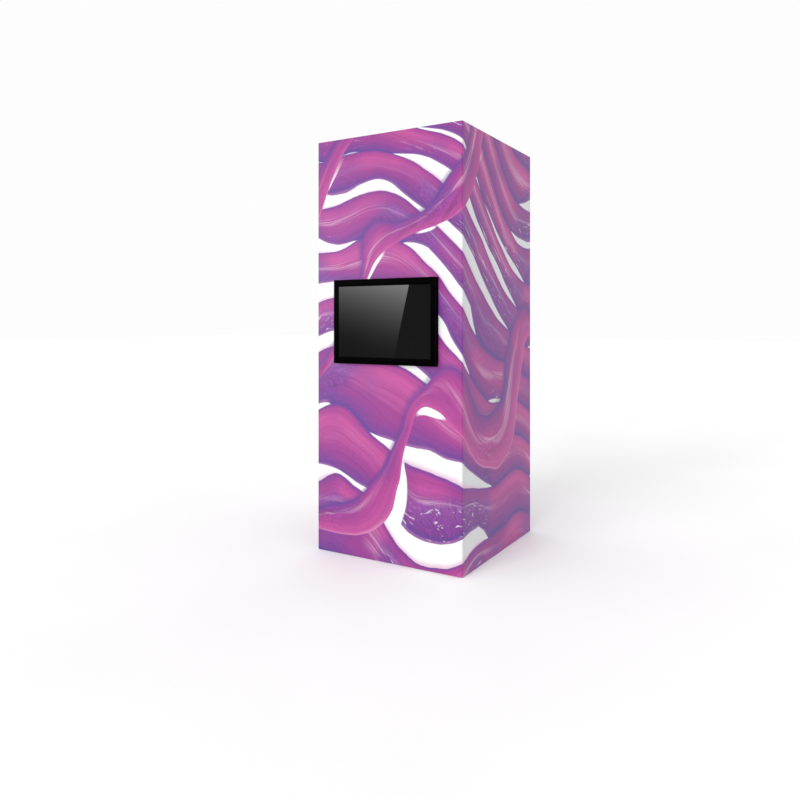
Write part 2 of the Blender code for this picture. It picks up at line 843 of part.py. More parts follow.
SOCKET = (INLET_X - 0.0325, INLET_X - 0.0075)
ROCKER = (INLET_X - 0.0030, INLET_X + 0.0120)
FUSE = (INLET_X + 0.0165, INLET_X + 0.0315)
OPEN_Z = (INLET_Z - 0.0096, INLET_Z + 0.0096)
SOCKET_Z = (INLET_Z - 0.0086, INLET_Z + 0.0086)
PIVOT_Y = HALF - 0.0050
inlet = put(
    "mains_inlet",
    new_bm((box, (body_x[0], HALF - 0.0320, body_z[0]), (body_x[1], face_y, body_z[1]))),
    BLACK_PLASTIC,
    (INLET_X, HALF, INLET_Z),
)
bm = bmesh.new()
out_y = HALF + 0.010
box(bm, (SOCKET[0], HALF - 0.0130, SOCKET_Z[0]), (SOCKET[1], out_y, SOCKET_Z[1]))
box(bm, (ROCKER[0], HALF - 0.0120, OPEN_Z[0]), (ROCKER[1], out_y, OPEN_Z[1]))
box(bm, (FUSE[0], HALF - 0.0230, OPEN_Z[0]), (FUSE[1], out_y, OPEN_Z[1]))
cut(inlet, bm)
# Two keyed corners of the socket, and the three contact blades in it.
keys = bmesh.new()
for x in SOCKET:
    place = Matrix.Translation((x, HALF - 0.0050, SOCKET_Z[1])) @ Matrix.Rotation(
        math.pi / 4, 4, "Y"
    )
    bmesh.ops.create_cube(
        keys, size=1.0, matrix=place @ Matrix.Diagonal((0.0044, 0.0162, 0.0044, 1.0))
    )
join(inlet, keys)
blades = bmesh.new()
mid = (SOCKET[0] + SOCKET[1]) / 2
for dx, dz in ((-0.0070, -0.0022), (0.0, 0.0022), (0.0070, -0.0022)):
    box(
        blades,
        (mid + dx - 0.0010, HALF - 0.0150, INLET_Z + dz - 0.0020),
        (mid + dx + 0.0010, HALF - 0.0005, INLET_Z + dz + 0.0020),
    )
join(inlet, blades)
# Sockets for the rocker's two stub pins.
pins = new_bm(
    (
        rod,
        (ROCKER[0] - 0.0012, PIVOT_Y, INLET_Z),
        (ROCKER[1] + 0.0012, PIVOT_Y, INLET_Z),
        0.0015,
        12,
    )
)
cut(inlet, pins)

# The rocker, drawn level and turned half its swing about its axis: it rests with the upper
# half pressed in and the lower half standing out.
SWING = 16
half_h = 0.0083
front = 0.0060
tip_y = front + half_h * math.tan(math.radians(SWING / 2))
level = [(front, 0.0), (tip_y, -half_h)]
level += arc(0.0, 0.0, 0.0055, -120, -240, 6)
level += [(tip_y, half_h)]
c, s = math.cos(math.radians(SWING / 2)), math.sin(math.radians(SWING / 2))
rocker_loop = [(PIVOT_Y + y * c - z * s, INLET_Z + y * s + z * c) for y, z in level]
rocker_axis = pivot("rocker_axis", ((ROCKER[0] + ROCKER[1]) / 2, PIVOT_Y, INLET_Z))
rocker = put(
    "rocker_switch",
    side([rocker_loop], ROCKER[0] + 0.0004, ROCKER[1] - 0.0004),
    GREY_PLASTIC,
    ((ROCKER[0] + ROCKER[1]) / 2, PIVOT_Y, INLET_Z),
    parent=rocker_axis,
)
join(
    rocker,
    new_bm(
        (
            rod,
            (ROCKER[0] - 0.0008, PIVOT_Y, INLET_Z),
            (ROCKER[1] + 0.0008, PIVOT_Y, INLET_Z),
            0.0012,
            12,
        )
    ),
)

bm = bmesh.new()
box(
    bm,
    (FUSE[0] + 0.0004, HALF - 0.0220, OPEN_Z[0] + 0.0004),
    (FUSE[1] - 0.0004, face_y, OPEN_Z[1] - 0.0004),
)
fuse_mid = (FUSE[0] + FUSE[1]) / 2
fuse = put("fuse_drawer", bm, GREY_PLASTIC, (fuse_mid, face_y, INLET_Z))
# A finger notch under the front edge, and the trough that holds the fuse.
cut(
    fuse,
    new_bm(
        (
            box,
            (fuse_mid - 0.0040, face_y - 0.0016, INLET_Z - 0.0070),
            (fuse_mid + 0.0040, face_y + 0.002, INLET_Z - 0.0035),
        ),
        (
            box,
            (fuse_mid - 0.0035, HALF - 0.0190, INLET_Z - 0.002),
            (fuse_mid + 0.0035, HALF - 0.0020, INLET_Z + 0.012),
        ),
    ),
)

# ---------------------------------------------------------------- monitor
tilt = pivot("monitor_tilt_axis", (0, -HALF - TILT_N, TILT_Z))
FACE_Y = -HALF - MON_FRONT
REAR_Y = FACE_Y + MON_DEPTH
SHELL = 0.0025
LIP = 0.0020
low_z, high_z = MON_Z - MON_H / 2, MON_Z + MON_H / 2
mon_at = (0, REAR_Y, MON_Z)

bm = bmesh.new()
box(bm, (-MON_W / 2, FACE_Y, low_z), (MON_W / 2, REAR_Y - 0.0023, high_z))
bevel(bm, [e for e in bm.edges if abs(e.verts[0].co.y - e.verts[1].co.y) > 0.01], 0.003, 3)
bevel(
    bm,
    [e for e in bm.edges if max(e.verts[0].co.y, e.verts[1].co.y) < FACE_Y + 1e-5],
    0.0012,
    2,
)
bezel = put("monitor_bezel", bm, BLACK_PLASTIC, mon_at, parent=tilt)
cavity = new_bm(
    (
        box,
        (-MON_W / 2 + SHELL, FACE_Y + LIP, low_z + SHELL),
        (MON_W / 2 - SHELL, REAR_Y + 0.01, high_z - SHELL),
    )
)
cut(bezel, cavity)
window = new_bm(
    (
        box,
        (-SCREEN_W / 2, FACE_Y - 0.01, MON_Z - SCREEN_H / 2),
        (SCREEN_W / 2, FACE_Y + 0.01, MON_Z + SCREEN_H / 2),
    )
)
cut(bezel, window)
BUTTONS = {"monitor_power_button": 0.362, "monitor_menu_button": 0.330}
button_y = FACE_Y + 0.0065
slots = bmesh.new()
for x in BUTTONS.values():
    box(
        slots,
        (x - 0.0063, button_y - 0.0033, low_z - 0.005),
        (x + 0.0063, button_y + 0.0033, low_z + 0.005),
    )
cut(bezel, slots)

panel_y = FACE_Y + LIP + GAP
bm = bmesh.new()
box(bm, (-0.400, panel_y, MON_Z - 0.2745), (0.400, panel_y + 0.006, MON_Z + 0.2745))
put("monitor_screen", bm, SCREEN, (0, panel_y, MON_Z), parent=tilt)

chassis_y = panel_y + 0.006 + GAP
bm = bmesh.new()
box(bm, (-0.350, chassis_y, MON_Z - 0.225), (0.350, chassis_y + 0.002, MON_Z + 0.225))
chassis = put("monitor_chassis", bm, STEEL, (0, chassis_y, MON_Z), parent=tilt)
BOSS_Y = REAR_Y - 0.0035
bosses = bmesh.new()
screws = bmesh.new()
for x in (-VESA / 2, VESA / 2):
    for z in (MON_Z - VESA / 2, MON_Z + VESA / 2):
        rod(bosses, (x, chassis_y + 0.001, z), (x, BOSS_Y, z), 0.006, 12)
        rod(screws, (x, chassis_y + 0.0015, z), (x, BOSS_Y + 0.002, z), 0.0021, 8)
join(chassis, bosses)
cut(chassis, screws)

bm = bmesh.new()
box(bm, (-MON_W / 2, REAR_Y - 0.0020, low_z), (MON_W / 2, -HALF - MON_RIM, high_z))
bevel(bm, [e for e in bm.edges if abs(e.verts[0].co.y - e.verts[1].co.y) > 0.001], 0.003, 3)
rear = put("monitor_rear_cover", bm, BLACK_PLASTIC, mon_at, parent=tilt)
# Behind its plate only a rim is left, which hides the mount from the sides. The rim slopes
# forward below the tilt axis, where the monitor swings back towards the fabric.
inside = new_bm(
    (
        box,
        (-MON_W / 2 + SHELL, REAR_Y, low_z + SHELL),
        (MON_W / 2 - SHELL, -HALF, high_z - SHELL),
    )
)
cut(rear, inside)
slope = [
    (-HALF - 0.0040, TILT_Z - 0.0128),
    (-HALF - 0.0152, TILT_Z - 0.0650),
    (-HALF + 0.0050, TILT_Z - 0.0650),
    (-HALF + 0.0050, TILT_Z - 0.0128),
]
cut(rear, side([slope], -MON_W / 2 - 0.005, MON_W / 2 + 0.005))
sx, sz0, sz1 = MON_W / 2 - SHELL - GAP, low_z + SHELL + GAP, high_z - SHELL - GAP
skirt = outline_mesh(
    "skirt",
    [
        [(-sx, sz0), (sx, sz0), (sx, sz1), (-sx, sz1)],
        [
            (-sx + 0.002, sz0 + 0.002),
            (sx - 0.002, sz0 + 0.002),
            (sx - 0.002, sz1 - 0.002),
            (-sx + 0.002, sz1 - 0.002),
        ],
    ],
    (Vector((1, 0, 0)), Vector((0, 0, 1)), (0, REAR_Y - 0.0010, 0)),
    0.0065,
)
join(rear, skirt)
openings = bmesh.new()
for x in (-VESA / 2, VESA / 2):
    for z in (MON_Z - VESA / 2, MON_Z + VESA / 2):
        rod(openings, (x, REAR_Y - 0.006, z), (x, REAR_Y + 0.004, z), 0.0056, 12)
for group in (-1, 1):
    for k in range(4):
        z = MON_Z + 0.200 + k * 0.012
        x = group * 0.255
        box(openings, (x - 0.070, REAR_Y - 0.004, z), (x + 0.070, REAR_Y + 0.004, z + 0.004))
for x, w, h in ((0.215, 0.0075, 0.0028), (0.240, 0.0075, 0.0028), (0.270, 0.0060, 0.0040)):
    box(
        openings,
        (x - w, REAR_Y - 0.004, MON_Z - 0.215 - h),
        (x + w, REAR_Y + 0.004, MON_Z - 0.215 + h),
    )
cut(rear, openings)

for name, x in BUTTONS.items():
    axis = pivot(f"{name}_axis", (x, button_y, low_z))
    bm = bmesh.new()
    box(bm, (x - 0.0060, button_y - 0.0030, low_z - 0.0013), (x + 0.0060, button_y + 0.0030, low_z + 0.0036))
    bevel(bm, [e for e in bm.edges if max(v.co.z for v in e.verts) < low_z], 0.0006, 1)
    button = put(name, bm, GREY_PLASTIC, (x, button_y, low_z), parent=axis)
    flange = new_bm(
        (
            box,
            (x - 0.0080, button_y - 0.0039, low_z + SHELL + GAP),
            (x + 0.0080, button_y + 0.0039, low_z + SHELL + GAP + 0.0012),
        )
    )
    join(button, flange)

# ---------------------------------------------------------------- monitor mount
PLATE_Y = (-HALF - 0.0035, -HALF - 0.0005)  # front and back of the wall plate
AXIS = (-HALF - TILT_N, TILT_Z)
ARM_R = TILT_N - 0.0035 - GAP  # round lower end of an arm
ARM_X = (0.088, 0.112)
SHAFT_R = 0.0032

bm = bmesh.new()
box(bm, (-0.145, PLATE_Y[0], 1.434), (0.145, PLATE_Y[1], 1.870))
bevel(bm, [e for e in bm.edges if abs(e.verts[0].co.y - e.verts[1].co.y) > 0.001], 0.008, 2)
wall_plate = put("wall_plate", bm, BLACK_STEEL, (0, PLATE_Y[1], MON_Z))
tubes = bmesh.new()
bolt_holes = bmesh.new()
for x in (-BOLT_X, BOLT_X):
    for z in BOLT_Z:
        rod(tubes, (x, PLATE_Y[0] + 0.001, z), (x, at_n(CROSS_N[0] - GAP), z), 0.0070, 12)
        rod(bolt_holes, (x, PLATE_Y[0] - 0.002, z), (x, at_n(CROSS_N[0]) + 0.002, z), 0.0034, 8)
join(wall_plate, tubes)
ear = [(PLATE_Y[0] + 0.002, 1.470), (PLATE_Y[0] + 0.002, TILT_Z - 0.0070)]
ear += [(AXIS[0] + 0.0074 * math.cos(math.radians(t)), AXIS[1] + 0.0074 * math.sin(math.radians(t))) for t in range(-90, -271, -30)]
for x in (ARM_X[0] - GAP - 0.004, ARM_X[1] + GAP):
    for sign in (1, -1):
        x0 = x if sign > 0 else -x - 0.004
        join(wall_plate, side([ear], x0, x0 + 0.004))
cut(wall_plate, bolt_holes)
shaft_bore = new_bm(
    (rod, (-0.130, AXIS[0], AXIS[1]), (0.130, AXIS[0], AXIS[1]), SHAFT_R + GAP, 16)
)
cut(wall_plate, shaft_bore)
grips = bmesh.new()
for z in (1.585, 1.775):
    box(grips, (-0.055, PLATE_Y[0] - 0.01, z - 0.045), (0.055, PLATE_Y[1] + 0.01, z + 0.045))
cut(wall_plate, grips)

bm = bmesh.new()
rod(bm, (-0.1200, AXIS[0], AXIS[1]), (0.1200, AXIS[0], AXIS[1]), SHAFT_R, 16)
put("tilt_shaft", bm, STEEL, (0, AXIS[0], AXIS[1]), smooth=40)

arm_rear = PLATE_Y[0] - GAP
arm_front = REAR_Y + GAP
profile = [(arm_rear, 1.850), (arm_rear, AXIS[1])]
profile += [
    (AXIS[0] + ARM_R * math.cos(math.radians(t)), AXIS[1] + ARM_R * math.sin(math.radians(t)))
    for t in range(-30, -151, -30)
]
profile += [(AXIS[0] - ARM_R, AXIS[1]), (AXIS[0] - ARM_R, AXIS[1] + 0.010), (arm_front, AXIS[1] + 0.012), (arm_front, 1.850)]
for where, sign in (("left", -1), ("right", 1)):
    x0, x1 = sorted((sign * ARM_X[0], sign * ARM_X[1]))
    xm = (x0 + x1) / 2
    arm = put(
        f"mount_arm_{where}",
        side([profile], x0, x1),
        BLACK_STEEL,
        (xm, AXIS[0], AXIS[1]),
        parent=tilt,
    )
    bosses = bmesh.new()
    drills = bmesh.new()
    for z in (MON_Z - VESA / 2, MON_Z + VESA / 2):
        rod(bosses, (xm, arm_front + 0.001, z), (xm, BOSS_Y + GAP, z), 0.0050, 12)
        rod(drills, (xm, arm_rear + 0.002, z), (xm, BOSS_Y - 0.002, z), 0.0023, 8)
    join(arm, bosses)
    pocket = new_bm(
        (box, (x0 + 0.0025, arm_front + 0.003, 1.475), (x1 - 0.0025, arm_rear + 0.004, 1.840))
    )
    cut(arm, pocket)
    rod(drills, (x0 - 0.002, AXIS[0], AXIS[1]), (x1 + 0.002, AXIS[0], AXIS[1]), SHAFT_R + GAP, 16)
    cut(arm, drills)

# Bolts from inside the tower, through the crossbars into the stand-offs.
for level, z in zip(("lower", "upper"), BOLT_Z):
    for where, x in (("left", -BOLT_X), ("right", BOLT_X)):
        back = at_n(CROSS_N[1])
        bm = bmesh.new()
        rod(bm, (x, PLATE_Y[0] + 0.0005, z), (x, back + 0.002, z), 0.0030, 8)
        bolt = put(
            f"mount_bolt_{level}_{where}", bm, STEEL, (x, back, z), smooth=40
        )
        join(bolt, new_bm((rod, (x, back + GAP, z), (x, back + 0.0043, z), 0.0058, 6)))
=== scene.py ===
"""The looks of the backlit display tower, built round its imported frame. Metres, +Z up, front to -Y."""

import math

import bmesh
import bpy
from mathutils import Matrix, Vector, noise


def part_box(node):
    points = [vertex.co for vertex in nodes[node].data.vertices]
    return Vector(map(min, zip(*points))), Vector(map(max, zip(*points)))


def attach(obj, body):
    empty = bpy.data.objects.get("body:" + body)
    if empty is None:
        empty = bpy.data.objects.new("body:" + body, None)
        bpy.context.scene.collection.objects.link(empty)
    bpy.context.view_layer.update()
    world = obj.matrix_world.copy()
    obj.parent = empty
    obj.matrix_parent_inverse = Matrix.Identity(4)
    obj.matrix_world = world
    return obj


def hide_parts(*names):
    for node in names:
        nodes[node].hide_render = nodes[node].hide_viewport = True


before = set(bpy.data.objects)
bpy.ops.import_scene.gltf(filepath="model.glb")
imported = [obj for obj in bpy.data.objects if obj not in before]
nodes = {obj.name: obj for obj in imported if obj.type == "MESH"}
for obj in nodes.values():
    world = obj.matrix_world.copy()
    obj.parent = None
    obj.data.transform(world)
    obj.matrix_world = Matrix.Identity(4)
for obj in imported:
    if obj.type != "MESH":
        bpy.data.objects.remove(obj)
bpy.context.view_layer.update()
scene = bpy.context.scene

# ---------------------------------------------------------------- where things are
low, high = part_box("fabric_wrap")
HALF = (high.x - low.x) / 2
AXIS_Y = (high.y + low.y) / 2
TOP, BOTTOM = high.z, low.z
CORNER_R = 0.012
SKIN = 0.001
bezel_low, bezel_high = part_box("monitor_bezel")
cover_low, cover_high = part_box("top_cover")


# ---------------------------------------------------------------- camera
# Level, at eye height, with the lens shifted as the photograph is framed.
F_PX, CENTRE = 701.7, (430.8, 321.2)
camera_data = bpy.data.cameras.new("camera")
# A tall sensor for a tall object: only its height sets the picture's angle here.
camera_data.sensor_fit = "VERTICAL"
camera_data.sensor_width, camera_data.sensor_height = 30.0, 36.0
camera_data.lens = F_PX / 800.0 * 36.0
camera_data.shift_x = (400.0 - CENTRE[0]) / 800.0
camera_data.shift_y = (CENTRE[1] - 400.0) / 800.0
camera_data.clip_start = 0.05
camera_data.clip_end = 200.0
camera = bpy.data.objects.new("camera", camera_data)
camera.location = (2.692, -4.677, 1.684)
camera.rotation_euler = (math.radians(90), 0.0, 0.5175)
scene.collection.objects.link(camera)
scene.camera = camera
scene.view_settings.view_transform = "Standard"
scene.view_settings.look = "None"


# ---------------------------------------------------------------- shader helper
class Graph:
    """A short way to write a material's nodes. A value is a socket or a plain number."""

    def __init__(self, name):
        self.mat = bpy.data.materials.new(name)
        self.mat.use_nodes = True
        self.tree = self.mat.node_tree
        self.shader = self.tree.nodes["Principled BSDF"]

    def link(self, value, socket):
        if isinstance(value, bpy.types.NodeSocket):
            self.tree.links.new(value, socket)
        else:
            socket.default_value = value

    def math(self, operation, a, b=0.0, c=0.0, clamp=False):
        node = self.tree.nodes.new("ShaderNodeMath")
        node.operation = operation
        node.use_clamp = clamp
        for value, socket in zip((a, b, c), node.inputs):
            self.link(value, socket)
        return node.outputs[0]

    def add(self, *values):
        total = values[0]
        for value in values[1:]:
            total = self.math("ADD", total, value)
        return total

    def mul(self, a, b):
        return self.math("MULTIPLY", a, b)

    def sin(self, a):
        return self.math("SINE", a)

    def step(self, value, low, high, out_low=0.0, out_high=1.0):
        """Smooth ramp from out_low to out_high as value goes from low to high."""
        node = self.tree.nodes.new("ShaderNodeMapRange")
        node.interpolation_type = "SMOOTHSTEP"
        for v, key in (
            (value, "Value"),
            (low, "From Min"),
            (high, "From Max"),
            (out_low, "To Min"),
            (out_high, "To Max"),
        ):
            self.link(v, node.inputs[key])
        return node.outputs["Result"]

    def ramp(self, value, stops, interpolation="EASE"):
        node = self.tree.nodes.new("ShaderNodeValToRGB")
        elements = node.color_ramp.elements
        node.color_ramp.interpolation = interpolation
        while len(elements) < len(stops):
            elements.new(0.5)
        for element, (at, colour) in zip(elements, stops):
            element.position = at
            element.color = (*colour, 1.0)
        self.link(value, node.inputs["Fac"])
        return node.outputs["Color"]

    def mix(self, factor, a, b, blend="MIX"):
        node = self.tree.nodes.new("ShaderNodeMix")
        node.data_type = "RGBA"
        node.blend_type = blend
        self.link(factor, node.inputs["Factor"])
        for value, key in ((a, "A"), (b, "B")):
            socket = next(
                s for s in node.inputs if s.name == key and s.type == "RGBA"
            )
            self.link((*value, 1.0) if isinstance(value, tuple) else value, socket)
        return next(s for s in node.outputs if s.type == "RGBA")

    def xyz(self, x, y, z=0.0):
        node = self.tree.nodes.new("ShaderNodeCombineXYZ")
        for value, socket in zip((x, y, z), node.inputs):
            self.link(value, socket)
        return node.outputs[0]

    def split(self, vector):
        node = self.tree.nodes.new("ShaderNodeSeparateXYZ")
        self.link(vector, node.inputs[0])
        return node.outputs

    def noise(self, vector, scale, detail=2.0, roughness=0.5, distortion=0.0):
        node = self.tree.nodes.new("ShaderNodeTexNoise")
        self.link(vector, node.inputs["Vector"])
        node.inputs["Scale"].default_value = scale
        node.inputs["Detail"].default_value = detail
        node.inputs["Roughness"].default_value = roughness
        node.inputs["Distortion"].default_value = distortion
        return node.outputs["Fac"]

    def object(self):
        return self.tree.nodes.new("ShaderNodeTexCoord").outputs["Object"]

    def uv(self, name):
        node = self.tree.nodes.new("ShaderNodeUVMap")
        node.uv_map = name
        return node.outputs["UV"]

    def bump(self, height, strength, distance, before=None):
        node = self.tree.nodes.new("ShaderNodeBump")
        node.inputs["Strength"].default_value = strength
        node.inputs["Distance"].default_value = distance
        self.link(height, node.inputs["Height"])
        if before is not None:
            self.link(before, node.inputs["Normal"])
        return node.outputs["Normal"]

    def finish(self, **inputs):
        for key, value in inputs.items():
            socket = self.shader.inputs[key.replace("_", " ")]
            if isinstance(value, tuple) and len(value) == 3:
                value = (*value, 1.0)
            self.link(value, socket)
        return self.mat


# ---------------------------------------------------------------- the print
PERIMETER = 8 * (HALF - CORNER_R) + 2 * math.pi * CORNER_R

WHITE = (0.425, 0.424, 0.426)
SHADED_WHITE = (0.352, 0.354, 0.364)
PALE = (0.356, 0.246, 0.310)
PINK = (0.293, 0.107, 0.213)
ROSE = (0.242, 0.036, 0.148)
MAGENTA = (0.197, 0.024, 0.132)
PLUM = (0.142, 0.019, 0.125)
PURPLE = (0.100, 0.020, 0.133)
VIOLET = (0.050, 0.020, 0.133)
GLINT = (0.395, 0.335, 0.375)


def printed_fabric():
    """Flowing ribbons in magenta, purple and white. u runs round the tower and v up it, in metres, so the ribbons run on round every corner."""
    g = Graph("printed_knit")
    u, v, _ = g.split(g.uv("print"))
    turn = g.mul(u, 2 * math.pi / PERIMETER)
    where = g.object()

    def waves(rise, winds, terms):
        phase = g.add(g.mul(v, rise), g.mul(u, winds / PERIMETER))
        for amount, times, up, start in terms:
            angle = g.add(g.mul(turn, times), g.mul(v, up), start)
            phase = g.add(phase, g.mul(g.sin(angle), amount))
        return phase

    def less(a):
        return g.math("SUBTRACT", 1.0, a)

    def between(value, low, high, soft):
        """1 inside low..high and 0 outside, with edges this soft."""
        return g.mul(
            g.step(value, g.math("SUBTRACT", low, soft), low),
            less(g.step(value, high, g.add(high, soft))),
        )

    def grey(value):
        return g.xyz(value, value, value)

    big = g.noise(where, 0.95, 1.0, 0.4)
    soft = g.noise(where, 2.2, 1.5, 0.45)
    patches = g.noise(where, 1.4, 2.0, 0.5)
    fine = g.noise(where, 26.0, 5.0, 0.62)
    pores = g.noise(where, 85.0, 2.5, 0.7)
    wet_zone = g.noise(where, 1.15, 1.0, 0.4)

    def ribbon(across, phase, slant, stops, cool_stops, cool):
        """A satin ribbon: its colour across it, streaks along it, cross creases and a wet highlight."""
        colour = g.mix(cool, g.ramp(across, stops), g.ramp(across, cool_stops))
        along = g.add(u, g.mul(v, slant))
        streak = g.noise(g.xyz(g.mul(phase, 26.0), g.mul(along, 1.4), 0.0), 1.0, 5.0, 0.62)
        colour = g.mix(1.0, colour, grey(g.step(streak, 0.30, 0.72, 0.91, 1.09)), "MULTIPLY")
        bend = g.noise(g.xyz(g.mul(phase, 3.0), g.mul(along, 4.0), 1.0), 1.0, 2.0, 0.5)
        crease = g.noise(g.xyz(g.mul(phase, 2.2), g.add(g.mul(along, 62.0), g.mul(bend, 26.0)), 5.0), 1.0, 2.5, 0.55)
        creased = g.mul(g.step(patches, 0.46, 0.62), between(across, 0.18, 0.66, 0.15))
        tone = g.step(crease, 0.36, 0.66, 0.80, 1.20)
        tone = g.add(1.0, g.mul(g.math("SUBTRACT", tone, 1.0), creased))
        colour = g.mix(1.0, colour, grey(tone), "MULTIPLY")
        porous = g.step(soft, 0.44, 0.60, 0.035, 0.120)
        grain = g.add(1.0, g.mul(g.math("SUBTRACT", g.step(pores, 0.32, 0.70), 0.5), porous))
        colour = g.mix(1.0, colour, grey(grain), "MULTIPLY")
        line = g.add(0.58, g.mul(g.math("SUBTRACT", soft, 0.5), 0.7))
        away = g.math("ABSOLUTE", g.math("SUBTRACT", across, line))
        reach = g.step(patches, 0.38, 0.62, 0.20, 0.07)
        gleam = g.mul(less(g.step(away, 0.0, reach)), g.step(streak, 0.38, 0.66))
        gleam = g.mul(gleam, g.step(big, 0.40, 0.60, 0.08, 0.62))
        colour = g.mix(gleam, colour, PALE)
        fleck = g.noise(g.xyz(g.mul(phase, 17.0), g.mul(along, 11.0), 2.0), 1.0, 4.5, 0.72, 0.5)
        wet = g.mul(g.step(fleck, 0.585, 0.64), g.mul(g.step(wet_zone, 0.53, 0.62), between(across, 0.08, 0.50, 0.14)))
        return g.mix(g.mul(wet, 0.80), colour, GLINT)

    # The first ribbons fall to the right, with tapering white bands between them.
    phase_a = g.add(
        waves(
            2.75,
            5,
            [(0.85, 1, 0.9, 0.4), (0.46, 2, -1.1, 2.0), (0.12, 5, 2.2, 0.0)],
        ),
        g.mul(soft, 0.40),
    )
    s = g.math("FRACT", phase_a)
    quiet = g.mul(g.step(u, 2.38, 2.80, 0.0, 0.172), g.step(u, 3.5, 4.0, 1.0, 0.0))
    # Hardly any white runs out over the top and bottom edges.
    inner = g.math("MAXIMUM", g.step(v, 0.03, 0.24), between(u, 2.0, 2.7, 0.35))
    inner = g.mul(inner, g.step(v, TOP - 0.36, TOP - 0.10, 1.0, 0.0))
    quiet = g.add(quiet, g.mul(less(inner), 0.20))
    # Painted shade: on the side to the right the print's white is darker and greyer, as that side stands in shade.
    corner_2, corner_3 = SIDE_START + PERIMETER / 2, SIDE_START + PERIMETER * 3 / 4
    right = g.mul(
        g.step(u, corner_2 - 0.009, corner_2 + 0.009),
        g.step(u, corner_3 - 0.009, corner_3 + 0.009, 1.0, 0.0),
    )
    # white is the print's white, with painted shade on the right-hand side.
    white = g.mix(right, WHITE, SHADED_WHITE)
    width = g.noise(where, 1.20, 1.0, 0.4)
    width = g.mul(g.math("SUBTRACT", width, g.add(0.350, quiet)), 2.0)
    width = g.math("MINIMUM", g.math("MAXIMUM", 0.0, width), 0.34)
    t = g.math("DIVIDE", g.math("SUBTRACT", s, width), g.math("SUBTRACT", 1.0, width))
    layer_a = ribbon(
        t,
        phase_a,
        0.45,
        [
            (0.00, VIOLET),
            (0.10, PURPLE),
            (0.30, PLUM),
            (0.52, MAGENTA),
            (0.78, ROSE),
            (0.92, MAGENTA),
            (1.00, PURPLE),
        ],
        [(0.0, VIOLET), (0.22, PURPLE), (0.60, (0.118, 0.032, 0.152)), (0.86, PLUM), (1.0, PURPLE)],
        g.step(patches, 0.42, 0.62),
    )
    # White melts into pink on one side and ends on a hard edge on the other.
    frayed = g.mul(g.math("SUBTRACT", fine, 0.5), 0.020)
    band = between(g.add(s, frayed), 0.012, g.math("SUBTRACT", width, 0.010), 0.010)
    band = g.mul(band, g.step(width, 0.015, 0.05))
    melt = g.step(g.math("DIVIDE", s, g.math("MAXIMUM", width, 0.02)), 0.0, 0.30)
    layer_a = g.mix(band, layer_a, g.mix(melt, PALE, white))
    blush = g.mul(g.step(s, width, g.add(width, 0.055), 1.0, 0.0), g.step(s, g.math("SUBTRACT", width, 0.01), width))
    layer_a = g.mix(g.mul(g.mul(blush, 0.45), g.step(width, 0.02, 0.10)), layer_a, PINK)

    # Fewer, broader ribbons lie over the first and rise to the right.
    phase_b = g.add(
        waves(
            0.72,
            -3,
            [(0.42, 1, -0.8, 3.6), (0.17, 3, 1.4, 0.9), (0.06, 4, -2.0, 2.2)],
        ),
        g.mul(soft, 0.12),
    )
    r = g.math("FRACT", phase_b)
    reach = g.step(g.noise(where, 0.8, 1.0, 0.4), 0.36, 0.66, 0.06, 0.36)
    body_b = ribbon(
        g.math("DIVIDE", r, reach),
        g.mul(phase_b, 2.4),
        -0.6,
        [
            (0.00, PINK),
            (0.06, ROSE),
            (0.34, MAGENTA),
            (0.62, MAGENTA),
            (0.84, PLUM),
            (0.95, PURPLE),
            (1.00, VIOLET),
        ],
        [(0.0, ROSE), (0.10, MAGENTA), (0.45, PLUM), (0.85, PURPLE), (1.0, VIOLET)],
        g.step(soft, 0.40, 0.64),
    )
    over = between(r, 0.003, g.math("SUBTRACT", reach, 0.003), 0.003)
    # Its shadow on what lies under it, and a white lip of changing width along its upper edge.
    shade = g.mul(less(g.step(r, reach, g.add(reach, 0.050))), g.step(r, g.math("SUBTRACT", reach, 0.004), reach))
    under = g.mix(g.mul(shade, 0.60), layer_a, (0.060, 0.018, 0.117))
    lip = g.step(g.noise(where, 1.9, 1.0, 0.4), 0.46, 0.68, 1.0, 0.945)
    lip = g.mul(g.step(r, lip, g.add(lip, 0.006)), g.step(lip, 0.990, 0.975))
    under = g.mix(g.mul(lip, inner), under, white)
    colour = g.mix(over, under, body_b)

    # Small glints, strewn along a few stretches.
    cells = g.tree.nodes.new("ShaderNodeTexVoronoi")
    cells.inputs["Scale"].default_value = 1.0
    g.link(g.xyz(g.mul(g.add(u, g.mul(v, 0.3)), 26.0), g.mul(v, 15.0), 0.0), cells.inputs["Vector"])
    glint = g.mul(less(g.step(g.add(cells.outputs["Distance"], g.mul(fine, 0.25)), 0.14, 0.22)), g.step(g.noise(where, 3.1, 2.0, 0.5), 0.58, 0.66))
    colour = g.mix(g.mul(glint, 0.75), colour, PALE)

    # Knit: loops 1.1 mm by 0.9 mm, as height only, and a slow unevenness in the dye.
    loops = g.mul(g.sin(g.mul(u, 2 * math.pi / 0.0011)), g.sin(g.mul(v, 2 * math.pi / 0.0009)))
    dye = g.step(fine, 0.3, 0.7, 0.982, 1.012)
    colour = g.mix(1.0, colour, grey(dye), "MULTIPLY")
    normal = g.bump(loops, 0.25, 0.00012)

